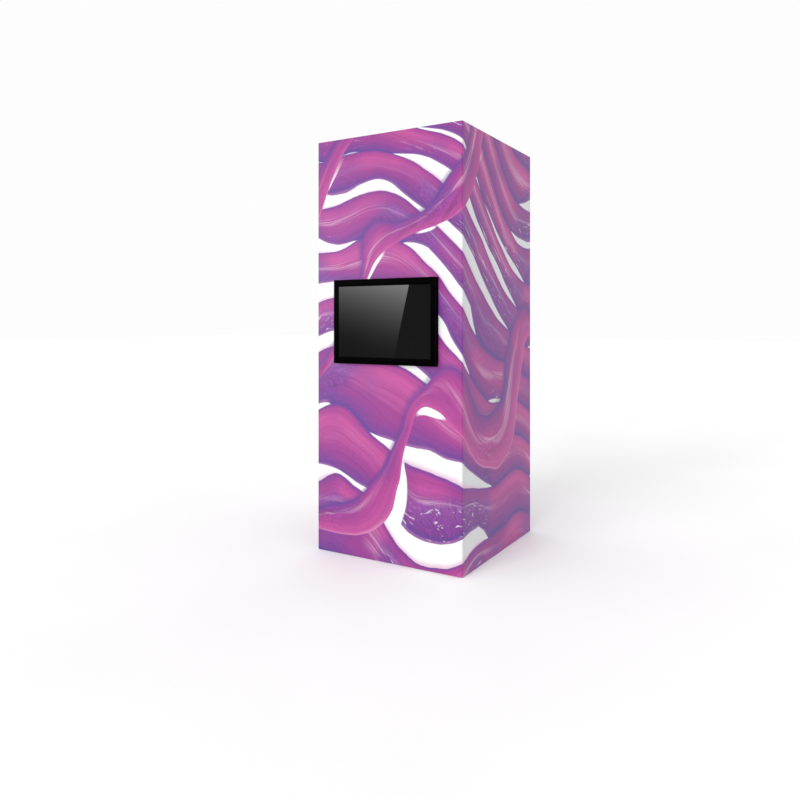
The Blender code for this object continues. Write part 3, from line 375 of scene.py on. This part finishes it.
    # Light from inside: a little stronger beside the posts that carry the light bars, and
    # weaker where a post or rail stands behind the cloth.
    side_u = g.math("PINGPONG", g.math("SUBTRACT", u, SIDE_START), (PERIMETER / 8))
    behind = g.mul(
        g.step(side_u, 0.045, 0.060, 0.95, 1.0),
        g.mul(
            g.step(v, 0.060, 0.075, 0.95, 1.0),
            g.step(v, TOP - 0.075, TOP - 0.060, 1.0, 0.95),
        ),
    )
    near_bar = g.step(side_u, 0.05, 0.42, 1.03, 0.985)
    glow = g.mul(g.mul(behind, near_bar), GLOW)
    return g.finish(
        Base_Color=colour,
        Roughness=0.62,
        Specular_IOR_Level=0.35,
        Sheen_Weight=0.20,
        Sheen_Roughness=0.45,
        Emission_Color=colour,
        Emission_Strength=glow,
        Normal=normal,
    )


GLOW = 0.70

# ---------------------------------------------------------------- the fabric skin
# u counts from the left end of the closing seam, which is on the rear beside the left post.
LEFT_END, RIGHT_END = -HALF + 0.0293, -HALF + 0.0393
FOLD_R = 0.0007
HEM = 0.0066
DROP = 0.013
FLANGE_Z = (0.0700, 2.9330)


def columns(per_side=40, per_corner=12):
    """For each column: a function from n, the distance inwards, to (x, y), and its u."""
    c = HALF - CORNER_R
    out = []
    u = 0.0

    def straight(x0, y0, x1, y1, nx, ny, count, first):
        nonlocal u
        length = math.hypot(x1 - x0, y1 - y0)
        for i in range(0 if first else 1, count + 1):
            f = i / count
            x, y = x0 + (x1 - x0) * f, y0 + (y1 - y0) * f
            out.append((lambda n, x=x, y=y: (x - nx * n, y - ny * n), u + length * f))
        u += length

    def corner(cx, cy, start):
        nonlocal u
        for i in range(1, per_corner + 1):
            a = math.radians(start + 90.0 * i / per_corner)
            out.append(
                (
                    lambda n, a=a: (
                        cx + (CORNER_R - n) * math.cos(a),
                        cy + (CORNER_R - n) * math.sin(a),
                    ),
                    u + CORNER_R * math.pi / 2 * i / per_corner,
                )
            )
        u += CORNER_R * math.pi / 2

    straight(LEFT_END, HALF, -c, HALF, 0, 1, 2, True)
    corner(-c, c, 90)
    straight(-HALF, c, -HALF, -c, -1, 0, per_side, False)
    corner(-c, -c, 180)
    straight(-c, -HALF, c, -HALF, 0, -1, per_side, False)
    corner(c, -c, 270)
    straight(HALF, -c, HALF, c, 1, 0, per_side, False)
    corner(c, c, 0)
    straight(c, HALF, RIGHT_END, HALF, 0, 1, per_side, False)
    return out



SIDE_START = (HALF - CORNER_R + LEFT_END) + CORNER_R * math.pi / 4


def rows():
    """(n, z, v) down the sheet: hem, fold, face, fold, hem, at the middle of its thickness."""
    mid, top, bottom = SKIN / 2, TOP - SKIN / 2, BOTTOM + SKIN / 2
    path = [(HEM, top - DROP), (HEM, top - 0.006), (HEM, top - FOLD_R)]
    for i in range(1, 4):
        a = math.pi / 2 * i / 3
        path.append((HEM - FOLD_R * (1 - math.cos(a)), top - FOLD_R + FOLD_R * math.sin(a)))
    path.append(((HEM + mid) / 2, top))
    for i in range(0, 4):
        a = math.pi / 2 * i / 3
        path.append((mid + FOLD_R - FOLD_R * math.sin(a), top - FOLD_R + FOLD_R * math.cos(a)))
    face = [top - d for d in (0.004, 0.010, 0.018, 0.028, 0.040, 0.054)]
    face.append(FLANGE_Z[1])
    face += [2.9 - i * (2.9 - 0.1) / 48 for i in range(49)]
    face.append(FLANGE_Z[0])
    face += [bottom + d for d in (0.054, 0.040, 0.028, 0.018, 0.010, 0.004)]
    path += [(mid, z) for z in face]
    for i in range(0, 4):
        a = math.pi / 2 * i / 3
        path.append((mid + FOLD_R - FOLD_R * math.cos(a), bottom + FOLD_R - FOLD_R * math.sin(a)))
    path.append(((HEM + mid) / 2, bottom))
    for i in range(0, 4):
        a = math.pi / 2 * i / 3
        path.append((HEM - FOLD_R + FOLD_R * math.sin(a), bottom + FOLD_R - FOLD_R * math.cos(a)))
    path += [(HEM, bottom + 0.006), (HEM, bottom + DROP)]
    out, v = [], None
    for i, (n, z) in enumerate(path):
        if v is None:
            v = TOP + DROP + HEM
        else:
            n0, z0 = path[i - 1]
            v -= math.hypot(n - n0, z - z0)
        out.append((n, z, v))
    return out


def pucker(u, z):
    """How far the stretched cloth stands out of its plane: small gathers that fade away from the hems, and a very slow drift between."""
    edge = min(TOP - z, z - BOTTOM)
    gathers = math.exp(-edge / 0.070) * (1 - math.exp(-edge / 0.006))
    wave = noise.noise(Vector((u * 11.0, z * 2.5, 4.0)))
    drift = noise.noise(Vector((u * 1.7, z * 0.9, 9.0)))
    return 0.00045 * gathers * max(0.0, 0.35 + wave) + 0.0002 * max(0.0, drift)


def to_object(name, bm, material, body, smooth=35.0):
    mesh = bpy.data.meshes.new(name)
    bm.to_mesh(mesh)
    bm.free()
    obj = bpy.data.objects.new(name, mesh)
    scene.collection.objects.link(obj)
    mesh.materials.append(material)
    if smooth:
        mesh.shade_smooth()
        mesh.set_sharp_from_angle(angle=math.radians(smooth))
    if body:
        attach(obj, body)
    return obj


def apply_modifiers(obj):
    graph = bpy.context.evaluated_depsgraph_get()
    mesh = bpy.data.meshes.new_from_object(obj.evaluated_get(graph))
    obj.modifiers.clear()
    old = obj.data
    obj.data = mesh
    bpy.data.meshes.remove(old)
    return obj


def box(bm, low, high):
    low, high = Vector(low), Vector(high)
    place = Matrix.Translation((low + high) / 2) @ Matrix.Diagonal((*(high - low), 1.0))
    return bmesh.ops.create_cube(bm, size=1.0, matrix=place)["verts"]


def rod(bm, start, end, radius, segments=24):
    start, end = Vector(start), Vector(end)
    turn = Vector((0, 0, 1)).rotation_difference(end - start).to_matrix().to_4x4()
    return bmesh.ops.create_cone(
        bm,
        cap_ends=True,
        segments=segments,
        radius1=radius,
        radius2=radius,
        depth=(end - start).length,
        matrix=Matrix.Translation((start + end) / 2) @ turn,
    )["verts"]


def cut_away(obj, bm):
    """Cuts the shapes in bm out of obj, and leaves the result in its mesh."""
    mesh = bpy.data.meshes.new("cutter")
    bm.to_mesh(mesh)
    bm.free()
    cutter = bpy.data.objects.new("cutter", mesh)
    scene.collection.objects.link(cutter)
    modifier = obj.modifiers.new("Cut", "BOOLEAN")
    modifier.operation = "DIFFERENCE"
    modifier.solver = "EXACT"
    modifier.object = cutter
    bpy.context.view_layer.update()
    apply_modifiers(obj)
    bpy.data.objects.remove(cutter)
    bpy.data.meshes.remove(mesh)
    return obj


def skin():
    bm = bmesh.new()
    layer = bm.loops.layers.uv.new("print")
    cols, lines = columns(), rows()
    grid = []
    uvs = {}
    for n, z, v in lines:
        line = []
        for place, u in cols:
            out = pucker(u, z) if n <= SKIN / 2 + 1e-7 else 0.0
            x, y = place(n - out)
            vert = bm.verts.new((x, y + AXIS_Y, z))
            uvs[vert] = (u, v)
            line.append(vert)
        grid.append(line)
    # The ends of the face rows fold into the closing grooves.
    for end, sign in ((0, -1), (-1, 1)):
        chains = []
        for (n, z, v), line in zip(lines, grid):
            if n > SKIN / 2 + 1e-7 or not FLANGE_Z[0] - 1e-6 <= z <= FLANGE_Z[1] + 1e-6:
                continue
            first = line[end]
            chain = [first]
            for depth in (0.0035, 0.0080, DROP):
                vert = bm.verts.new((first.co.x, first.co.y - depth, z))
                uvs[vert] = (uvs[first][0] + sign * depth, v)
                chain.append(vert)
            chains.append(chain)
        for a, b in zip(chains, chains[1:]):
            for i in range(len(a) - 1):
                bm.faces.new((a[i], a[i + 1], b[i + 1], b[i]))
    for a, b in zip(grid, grid[1:]):
        for i in range(len(a) - 1):
            bm.faces.new((a[i], b[i], b[i + 1], a[i + 1]))
    bmesh.ops.recalc_face_normals(bm, faces=bm.faces)
    for face in bm.faces:
        for loop in face.loops:
            loop[layer].uv = uvs[loop.vert]
    obj = to_object("print_skin", bm, printed_fabric(), None, 40.0)
    thick = obj.modifiers.new("Cloth", "SOLIDIFY")
    thick.thickness = SKIN
    thick.offset = 0.0
    thick.use_even_offset = True
    apply_modifiers(obj)
    # Holes that the fitter burns for the four stand-offs, and the opening for the inlet.
    holes = bmesh.new()
    front = AXIS_Y - HALF
    for x in (-0.120, 0.120):
        for z in (1.520, 1.840):
            rod(holes, (x, front - 0.004, z), (x, front + 0.004, z), 0.0076, 24)
    rear = AXIS_Y + HALF
    box(holes, (0.310, rear - 0.004, 0.0195), (0.390, rear + 0.004, 0.0535))
    cut_away(obj, holes)
    obj.data.shade_smooth()
    obj.data.set_sharp_from_angle(angle=math.radians(40))
    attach(obj, "tower")
    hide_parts("fabric_wrap")
    return obj


print_skin = skin()

# ---------------------------------------------------------------- materials of the frame
def metal(name, colour, roughness, grain_axis=2, spread=0.10):
    """Bare or anodised metal with drawn lines along one axis, slow tone changes and rubbed spots."""
    g = Graph(name)
    where = g.object()
    parts = g.split(where)
    scales = [900.0, 900.0, 900.0]
    scales[grain_axis] = 6.0
    lines = g.noise(
        g.xyz(*(g.mul(p, s) for p, s in zip(parts, scales))), 1.0, 3.0, 0.6
    )
    cloud = g.noise(where, 7.0, 4.0, 0.6)
    tone = g.step(cloud, 0.3, 0.7)
    dark = tuple(c * (1 - spread) for c in colour)
    light = tuple(min(1.0, c * (1 + spread * 0.6)) for c in colour)
    rough = g.math(
        "ADD",
        g.step(lines, 0.3, 0.7, roughness - 0.06, roughness + 0.08),
        g.step(cloud, 0.45, 0.75, 0.0, 0.08),
    )
    return g.finish(
        Base_Color=g.mix(tone, dark, light),
        Metallic=1.0,
        Roughness=rough,
        Normal=g.bump(lines, 0.10, 0.0002),
    )


def plastic(name, colour, roughness, grain=900.0, depth=0.00008, level=0.4, spread=0.18, coat=0.0):
    """Moulded plastic: a fine spark-eroded grain, slow tone changes and faint wipe marks in the gloss."""
    g = Graph(name)
    where = g.object()
    fine = g.noise(where, grain, 2.0, 0.55)
    cloud = g.noise(where, 9.0, 4.0, 0.6)
    wipe = g.noise(g.xyz(*(g.mul(p, s) for p, s in zip(g.split(where), (60.0, 9.0, 24.0)))), 1.0, 4.0, 0.6)
    dark = tuple(c * (1 - spread) for c in colour)
    light = tuple(min(1.0, c * (1 + spread)) for c in colour)
    rough = g.math(
        "ADD",
        g.step(wipe, 0.40, 0.75, roughness - 0.03, roughness + 0.07),
        g.step(fine, 0.3, 0.7, -0.02, 0.02),
    )
    return g.finish(
        Base_Color=g.mix(g.step(cloud, 0.3, 0.7), dark, light),
        Roughness=rough,
        Specular_IOR_Level=level,
        Coat_Weight=coat,
        Normal=g.bump(fine, 0.30, depth),
    )


def screen_glass():
    """A switched-off panel: near black, with a faint cell tint and a very smooth front."""
    g = Graph("screen_front")
    where = g.object()
    cloud = g.noise(where, 3.0, 3.0, 0.5)
    smear = g.noise(g.xyz(*(g.mul(p, s) for p, s in zip(g.split(where), (10.0, 10.0, 26.0)))), 1.0, 4.0, 0.6)
    return g.finish(
        Base_Color=g.mix(g.step(cloud, 0.3, 0.7), (0.0016, 0.0016, 0.0018), (0.0024, 0.0024, 0.0026)),
        Roughness=g.step(smear, 0.45, 0.8, 0.012, 0.030),
        Specular_IOR_Level=0.076,
    )


anodised = metal("anodised_extrusion", (0.62, 0.63, 0.64), 0.36)
anodised_x = metal("anodised_extrusion_x", (0.62, 0.63, 0.64), 0.36, 0)
anodised_y = metal("anodised_extrusion_y", (0.62, 0.63, 0.64), 0.36, 1)
cast = metal("cast_connector", (0.47, 0.48, 0.49), 0.52, 2, 0.18)
zinc = metal("zinc_plate", (0.56, 0.57, 0.55), 0.34, 0, 0.16)
case = metal("supply_case", (0.55, 0.56, 0.57), 0.42, 0, 0.12)
bar = metal("light_bar", (0.84, 0.86, 0.87), 0.30, 2, 0.05)
powder = plastic("black_powder_coat", (0.012, 0.012, 0.012), 0.50, 1400.0, 0.00012, 0.4)
shell_black = plastic("black_shell", (0.0005, 0.0005, 0.0006), 0.40, 1500.0, 0.00004, 0.004)
shell_edge = plastic("black_shell_rubbed_edge", (0.0025, 0.0025, 0.0027), 0.34, 1500.0, 0.00003, 0.16)
inlet_black = plastic("inlet_black", (0.010, 0.010, 0.0105), 0.45, 1100.0, 0.00008, 0.35)
dark_grey = plastic("dark_grey_keys", (0.040, 0.040, 0.043), 0.48, 1200.0, 0.00007, 0.35)
sheath = plastic("cable_sheath_black", (0.020, 0.020, 0.021), 0.55, 700.0, 0.00010, 0.4)
foot_black = plastic("foot_rubber", (0.030, 0.030, 0.030), 0.75, 500.0, 0.00015, 0.3)
white_foam = plastic("white_foam_board", (0.78, 0.78, 0.76), 0.62, 420.0, 0.00010, 0.3, 0.03)
grey_foam = plastic("grey_foam_sheet", (0.30, 0.30, 0.31), 0.60, 420.0, 0.00012, 0.3, 0.06)
silicone = plastic("silicone_strip", (0.74, 0.74, 0.72), 0.45, 300.0, 0.00006, 0.4, 0.04)

CARRIED = {
    "corner_post_": anodised,
    "top_corner_": cast,
    "bottom_corner_": cast,
    "levelling_foot_": foot_black,
    "led_bar_": bar,
    "silicone_edge_": silicone,
    "mount_bolt_": zinc,
    "mount_arm_": powder,
    "wall_plate": powder,
    "tilt_shaft": zinc,
    "top_cover": grey_foam,
    "base_panel": white_foam,
    "power_supply": case,
    "led_wiring": sheath,
    "inlet_plate": inlet_black,
    "mains_inlet": inlet_black,
    "rocker_switch": dark_grey,
    "fuse_drawer": dark_grey,
    "monitor_bezel": shell_black,
    "monitor_rear_cover": shell_black,
    "monitor_screen": screen_glass(),
    "monitor_chassis": zinc,
    "monitor_power_button": dark_grey,
    "monitor_menu_button": dark_grey,
    "monitor_crossbar_": anodised_x,
}
for level in ("top", "bottom", "mid"):
    for where, finish in (("front", anodised_x), ("rear", anodised_x), ("left", anodised_y), ("right", anodised_y)):
        CARRIED[f"{level}_rail_{where}"] = finish
for name, obj in nodes.items():
    found = [finish for start, finish in CARRIED.items() if name.startswith(start)]
    if found:
        obj.data.materials.clear()
        obj.data.materials.append(found[-1])

# ---------------------------------------------------------------- monitor shell
def rounded(half_w, half_h, radius, y, centre, per_corner=5):
    """A closed loop of points: a rectangle with round corners, upright at depth y."""
    cx, cz = centre
    points = []
    for sx, sz, start in ((1, 1, 0), (-1, 1, 90), (-1, -1, 180), (1, -1, 270)):
        for i in range(per_corner + 1):
            a = math.radians(start + 90.0 * i / per_corner)
            points.append(
                (
                    cx + sx * (half_w - radius) + radius * math.cos(a),
                    y,
                    cz + sz * (half_h - radius) + radius * math.sin(a),
                )
            )
    return points


def loft(bm, loops, closed=False):
    made = [[bm.verts.new(p) for p in loop] for loop in loops]
    pairs = list(zip(made, made[1:])) + ([(made[-1], made[0])] if closed else [])
    for a, b in pairs:
        for i in range(len(a)):
            j = (i + 1) % len(a)
            bm.faces.new((a[i], a[j], b[j], b[i]))
    return made


def monitor_shell():
    centre = ((bezel_low.x + bezel_high.x) / 2, (bezel_low.z + bezel_high.z) / 2)
    w, h = (bezel_high.x - bezel_low.x) / 2, (bezel_high.z - bezel_low.z) / 2
    face, rear = bezel_low.y, bezel_high.y
    win_w, win_h = 0.379, 0.2500
    edge = 0.0013
    loops = [rounded(w, h, 0.0032, rear, centre), rounded(w, h, 0.0032, face + edge, centre)]
    for i in range(1, 5):
        a = math.pi / 2 * i / 4
        back = edge * (1 - math.cos(a))
        loops.append(
            rounded(w - back, h - back, 0.0032 - back * 0.6, face + edge - edge * math.sin(a), centre)
        )
    loops += [
        rounded(win_w + 0.0010, win_h + 0.0010, 0.0012, face, centre),
        rounded(win_w + 0.0004, win_h + 0.0004, 0.0008, face + 0.0002, centre),
        rounded(win_w, win_h, 0.0006, face + 0.0008, centre),
        rounded(win_w, win_h, 0.0006, face + 0.0020, centre),
        rounded(w - 0.0025, h - 0.0025, 0.0015, face + 0.0020, centre),
        rounded(w - 0.0025, h - 0.0025, 0.0015, rear, centre),
    ]
    bm = bmesh.new()
    loft(bm, loops, closed=True)
    # Hands have rubbed the outer bevel and the four corners smoother than the flats.
    bm.faces.ensure_lookup_table()
    per_loop = len(loops[0])
    for index, face_ in enumerate(bm.faces):
        band, place = divmod(index, per_loop)
        if 1 <= band <= 4 or (band == 0 and place % 6 < 5):
            face_.material_index = 1
    bmesh.ops.recalc_face_normals(bm, faces=bm.faces)
    obj = to_object("monitor_shell", bm, shell_black, None, 40.0)
    obj.data.materials.append(shell_edge)
    slots = bmesh.new()
    for x in (0.362, 0.330):
        y = face + 0.0065
        box(slots, (x - 0.0063, y - 0.0033, bezel_low.z - 0.004), (x + 0.0063, y + 0.0033, bezel_low.z + 0.0045))
    cut_away(obj, slots)
    obj.data.shade_smooth()
    obj.data.set_sharp_from_angle(angle=math.radians(38))
    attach(obj, "monitor")
    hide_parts("monitor_bezel")
    return obj


monitor_shell()

# ---------------------------------------------------------------- lid
def stadium(cx, cy, half_length, radius, steps=8):
    points = []
    for sign, start in ((1, -90), (-1, 90)):
        for i in range(steps + 1):
            a = math.radians(start + 180.0 * i / steps)
            points.append((cx + sign * half_length + radius * math.cos(a), cy + radius * math.sin(a)))
    return points


def lid():
    """The lift-out cover: a foamed sheet with routed vent slots and finger holes, every edge eased."""
    half = (cover_high.x - cover_low.x) / 2
    notch = HALF - 0.0516
    loops = []
    outline = []
    for a, b in ((1, 1), (-1, 1), (-1, -1), (1, -1)):
        corner = [(half, notch), (notch + 0.002, notch), (notch, notch + 0.002), (notch, half)]
        if a * b < 0:
            corner.reverse()
        outline += [(a * x, b * y) for x, y in corner]
    loops.append(outline)
    for row in (-1, 1):
        for k in range(4):
            loops.append(stadium(0.0, row * 0.30 + (k - 1.5) * 0.036, 0.296, 0.0040))
    for x in (-0.44, 0.44):
        loops.append([(x + 0.0135 * math.cos(2 * math.pi * i / 40), 0.0135 * math.sin(2 * math.pi * i / 40)) for i in range(40)])
    curve = bpy.data.curves.new("lid", "CURVE")
    curve.dimensions = "2D"
    curve.fill_mode = "BOTH"
    thick = cover_high.z - cover_low.z
    ease = 0.0004
    curve.extrude = thick / 2 - ease
    curve.bevel_depth = ease
    curve.bevel_resolution = 1
    curve.offset = -ease
    for loop in loops:
        spline = curve.splines.new("POLY")
        spline.points.add(len(loop) - 1)
        for point, (x, y) in zip(spline.points, loop):
            point.co = (x, y, 0.0, 1.0)
        spline.use_cyclic_u = True
    holder = bpy.data.objects.new("lid_curve", curve)
    scene.collection.objects.link(holder)
    bpy.context.view_layer.update()
    mesh = bpy.data.meshes.new_from_object(holder.evaluated_get(bpy.context.evaluated_depsgraph_get()))
    bpy.data.objects.remove(holder)
    bm = bmesh.new()
    bm.from_mesh(mesh)
    bpy.data.meshes.remove(mesh)
    bmesh.ops.remove_doubles(bm, verts=bm.verts, dist=1e-6)
    bm.transform(Matrix.Translation((0, AXIS_Y, (cover_low.z + cover_high.z) / 2)))
    bmesh.ops.recalc_face_normals(bm, faces=bm.faces)
    obj = to_object("vented_lid", bm, grey_foam, "tower", 0)
    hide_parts("top_cover")
    return obj


lid()

# ---------------------------------------------------------------- small fastenings
def screw_head(name, at, towards, radius, material, body, turned=0.5):
    """A raised countersunk head with a cross recess, made in millimetres and then scaled. towards is the way it faces."""
    r = radius * 1000
    rings = []
    bm = bmesh.new()
    for share, lift in ((0.35, 0.50), (0.70, 0.33), (0.92, 0.12), (1.0, 0.0), (0.96, -0.30)):
        rings.append(
            [
                bm.verts.new((r * share * math.cos(a), r * share * math.sin(a), lift))
                for a in (2 * math.pi * i / 32 for i in range(32))
            ]
        )
    bm.faces.new(rings[0])
    for a, b in zip(rings, rings[1:]):
        for i in range(32):
            j = (i + 1) % 32
            bm.faces.new((a[i], b[i], b[j], a[j]))
    bm.faces.new(list(reversed(rings[-1])))
    bmesh.ops.recalc_face_normals(bm, faces=bm.faces)
    obj = to_object(name, bm, material, None, 30.0)
    arm, thin = r * 0.55, r * 0.12
    cross = [(arm, -thin), (arm, thin), (thin, thin), (thin, arm), (-thin, arm), (-thin, thin)]
    cross += [(-x, -y) for x, y in cross]
    c, s = math.cos(turned), math.sin(turned)
    recess = bmesh.new()
    ends = [[recess.verts.new((x * c - y * s, x * s + y * c, z)) for x, y in cross] for z in (-0.15, 1.5)]
    recess.faces.new(list(reversed(ends[0])))
    recess.faces.new(ends[1])
    for i in range(len(cross)):
        j = (i + 1) % len(cross)
        recess.faces.new((ends[0][i], ends[0][j], ends[1][j], ends[1][i]))
    bmesh.ops.recalc_face_normals(recess, faces=recess.faces)
    cut_away(obj, recess)
    place = Matrix.Translation(at) @ Vector((0, 0, 1)).rotation_difference(Vector(towards)).to_matrix().to_4x4()
    obj.data.transform(place @ Matrix.Scale(0.001, 4))
    obj.data.shade_smooth()
    obj.data.set_sharp_from_angle(angle=math.radians(30))
    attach(obj, body)
    return obj


plate_low, plate_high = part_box("inlet_plate")
for side_name, x in (("left", plate_low.x + 0.0044), ("right", plate_high.x - 0.0044)):
    spot = (x, plate_high.y - 0.0002, (plate_low.z + plate_high.z) / 2)
    screw_head(f"inlet_screw_{side_name}", spot, (0, 1, 0), 0.0027, zinc, "tower", 0.5 + 9.0 * x)

# ---------------------------------------------------------------- stage and light
floor_graph = Graph("studio_floor")
spot = floor_graph.noise(floor_graph.object(), 0.6, 2.0, 0.4)
floor_material = floor_graph.finish(
    Base_Color=floor_graph.mix(floor_graph.step(spot, 0.3, 0.7), (0.85, 0.85, 0.85), (0.87, 0.87, 0.87)),
    Roughness=0.7,
    Specular_IOR_Level=0.2,
)
bm = bmesh.new()
bmesh.ops.create_grid(bm, x_segments=8, y_segments=8, size=60.0)
floor = to_object("floor", bm, floor_material, None, 0)

WORLD = 0.985
world = bpy.data.worlds.new("studio")
scene.world = world
world.use_nodes = True
background = world.node_tree.nodes["Background"]
background.inputs["Color"].default_value = (1.0, 1.0, 1.0, 1.0)
background.inputs["Strength"].default_value = WORLD


sun = bpy.data.lights.new("key", "SUN")
sun.energy = 2.50
sun.angle = math.radians(40)
key = bpy.data.objects.new("key", sun)
key.rotation_euler = Vector((0.12, 1.0, -0.30)).to_track_quat("-Z", "Y").to_euler()
key.visible_glossy = False
scene.collection.objects.link(key)

# The light falls off downwards and to the left.
CARD_LOW, CARD_RISE, CARD_SHIFT, CARD_MIRROR = 0.03, 0.43, 0.14, 0.0074

# A card that only the monitor's gloss picks up, as the window light across the dark screen.
SCREEN_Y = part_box("monitor_screen")[0].y
CARD_Y = SCREEN_Y - 2.0


def on_card(x, z):
    """Where the camera sees the card's mirror image through this point of the screen."""
    eye = Vector(camera.location)
    point = Vector((x, SCREEN_Y, z))
    k = (SCREEN_Y + 2.0 - eye.y) / (SCREEN_Y - eye.y)
    seen = eye + (point - eye) * k
    return Vector((seen.x, CARD_Y, seen.z))


bm = bmesh.new()
corners = [on_card(-2.40, 2.25), on_card(-2.40, 1.10), on_card(0.0105, 1.10), on_card(0.2886, 2.25)]
bm.faces.new([bm.verts.new(c) for c in corners])
card_graph = Graph("card_light")
across, _, height = card_graph.split(card_graph.object())
left, right = on_card(-0.37, 1.68).x, on_card(0.19, 1.68).x
low_z, high_z = on_card(0, 1.45).z, on_card(0, 1.93).z
rise = card_graph.mul(card_graph.math("SUBTRACT", height, low_z), CARD_RISE / (high_z - low_z))
shift = card_graph.mul(card_graph.math("SUBTRACT", across, left), CARD_SHIFT / (right - left))
level = card_graph.math("MAXIMUM", 0.0, card_graph.add(CARD_LOW, rise, shift))
level = card_graph.math("MINIMUM", level, 0.62)
glow = card_graph.tree.nodes.new("ShaderNodeEmission")
strength = card_graph.mul(card_graph.math("POWER", level, 3.0), 1.0 / CARD_MIRROR)
strength = card_graph.mul(strength, card_graph.step(height, on_card(0, 1.95).z, on_card(0, 2.22).z, 1.0, 0.0))
card_graph.link(card_graph.add(strength, WORLD), glow.inputs["Strength"])
card_graph.tree.links.new(glow.outputs[0], card_graph.tree.nodes["Material Output"].inputs["Surface"])
card = to_object("window_card", bm, card_graph.mat, None, 0)
card.visible_camera = False
card.visible_diffuse = False
card.visible_shadow = False
card.visible_transmission = False
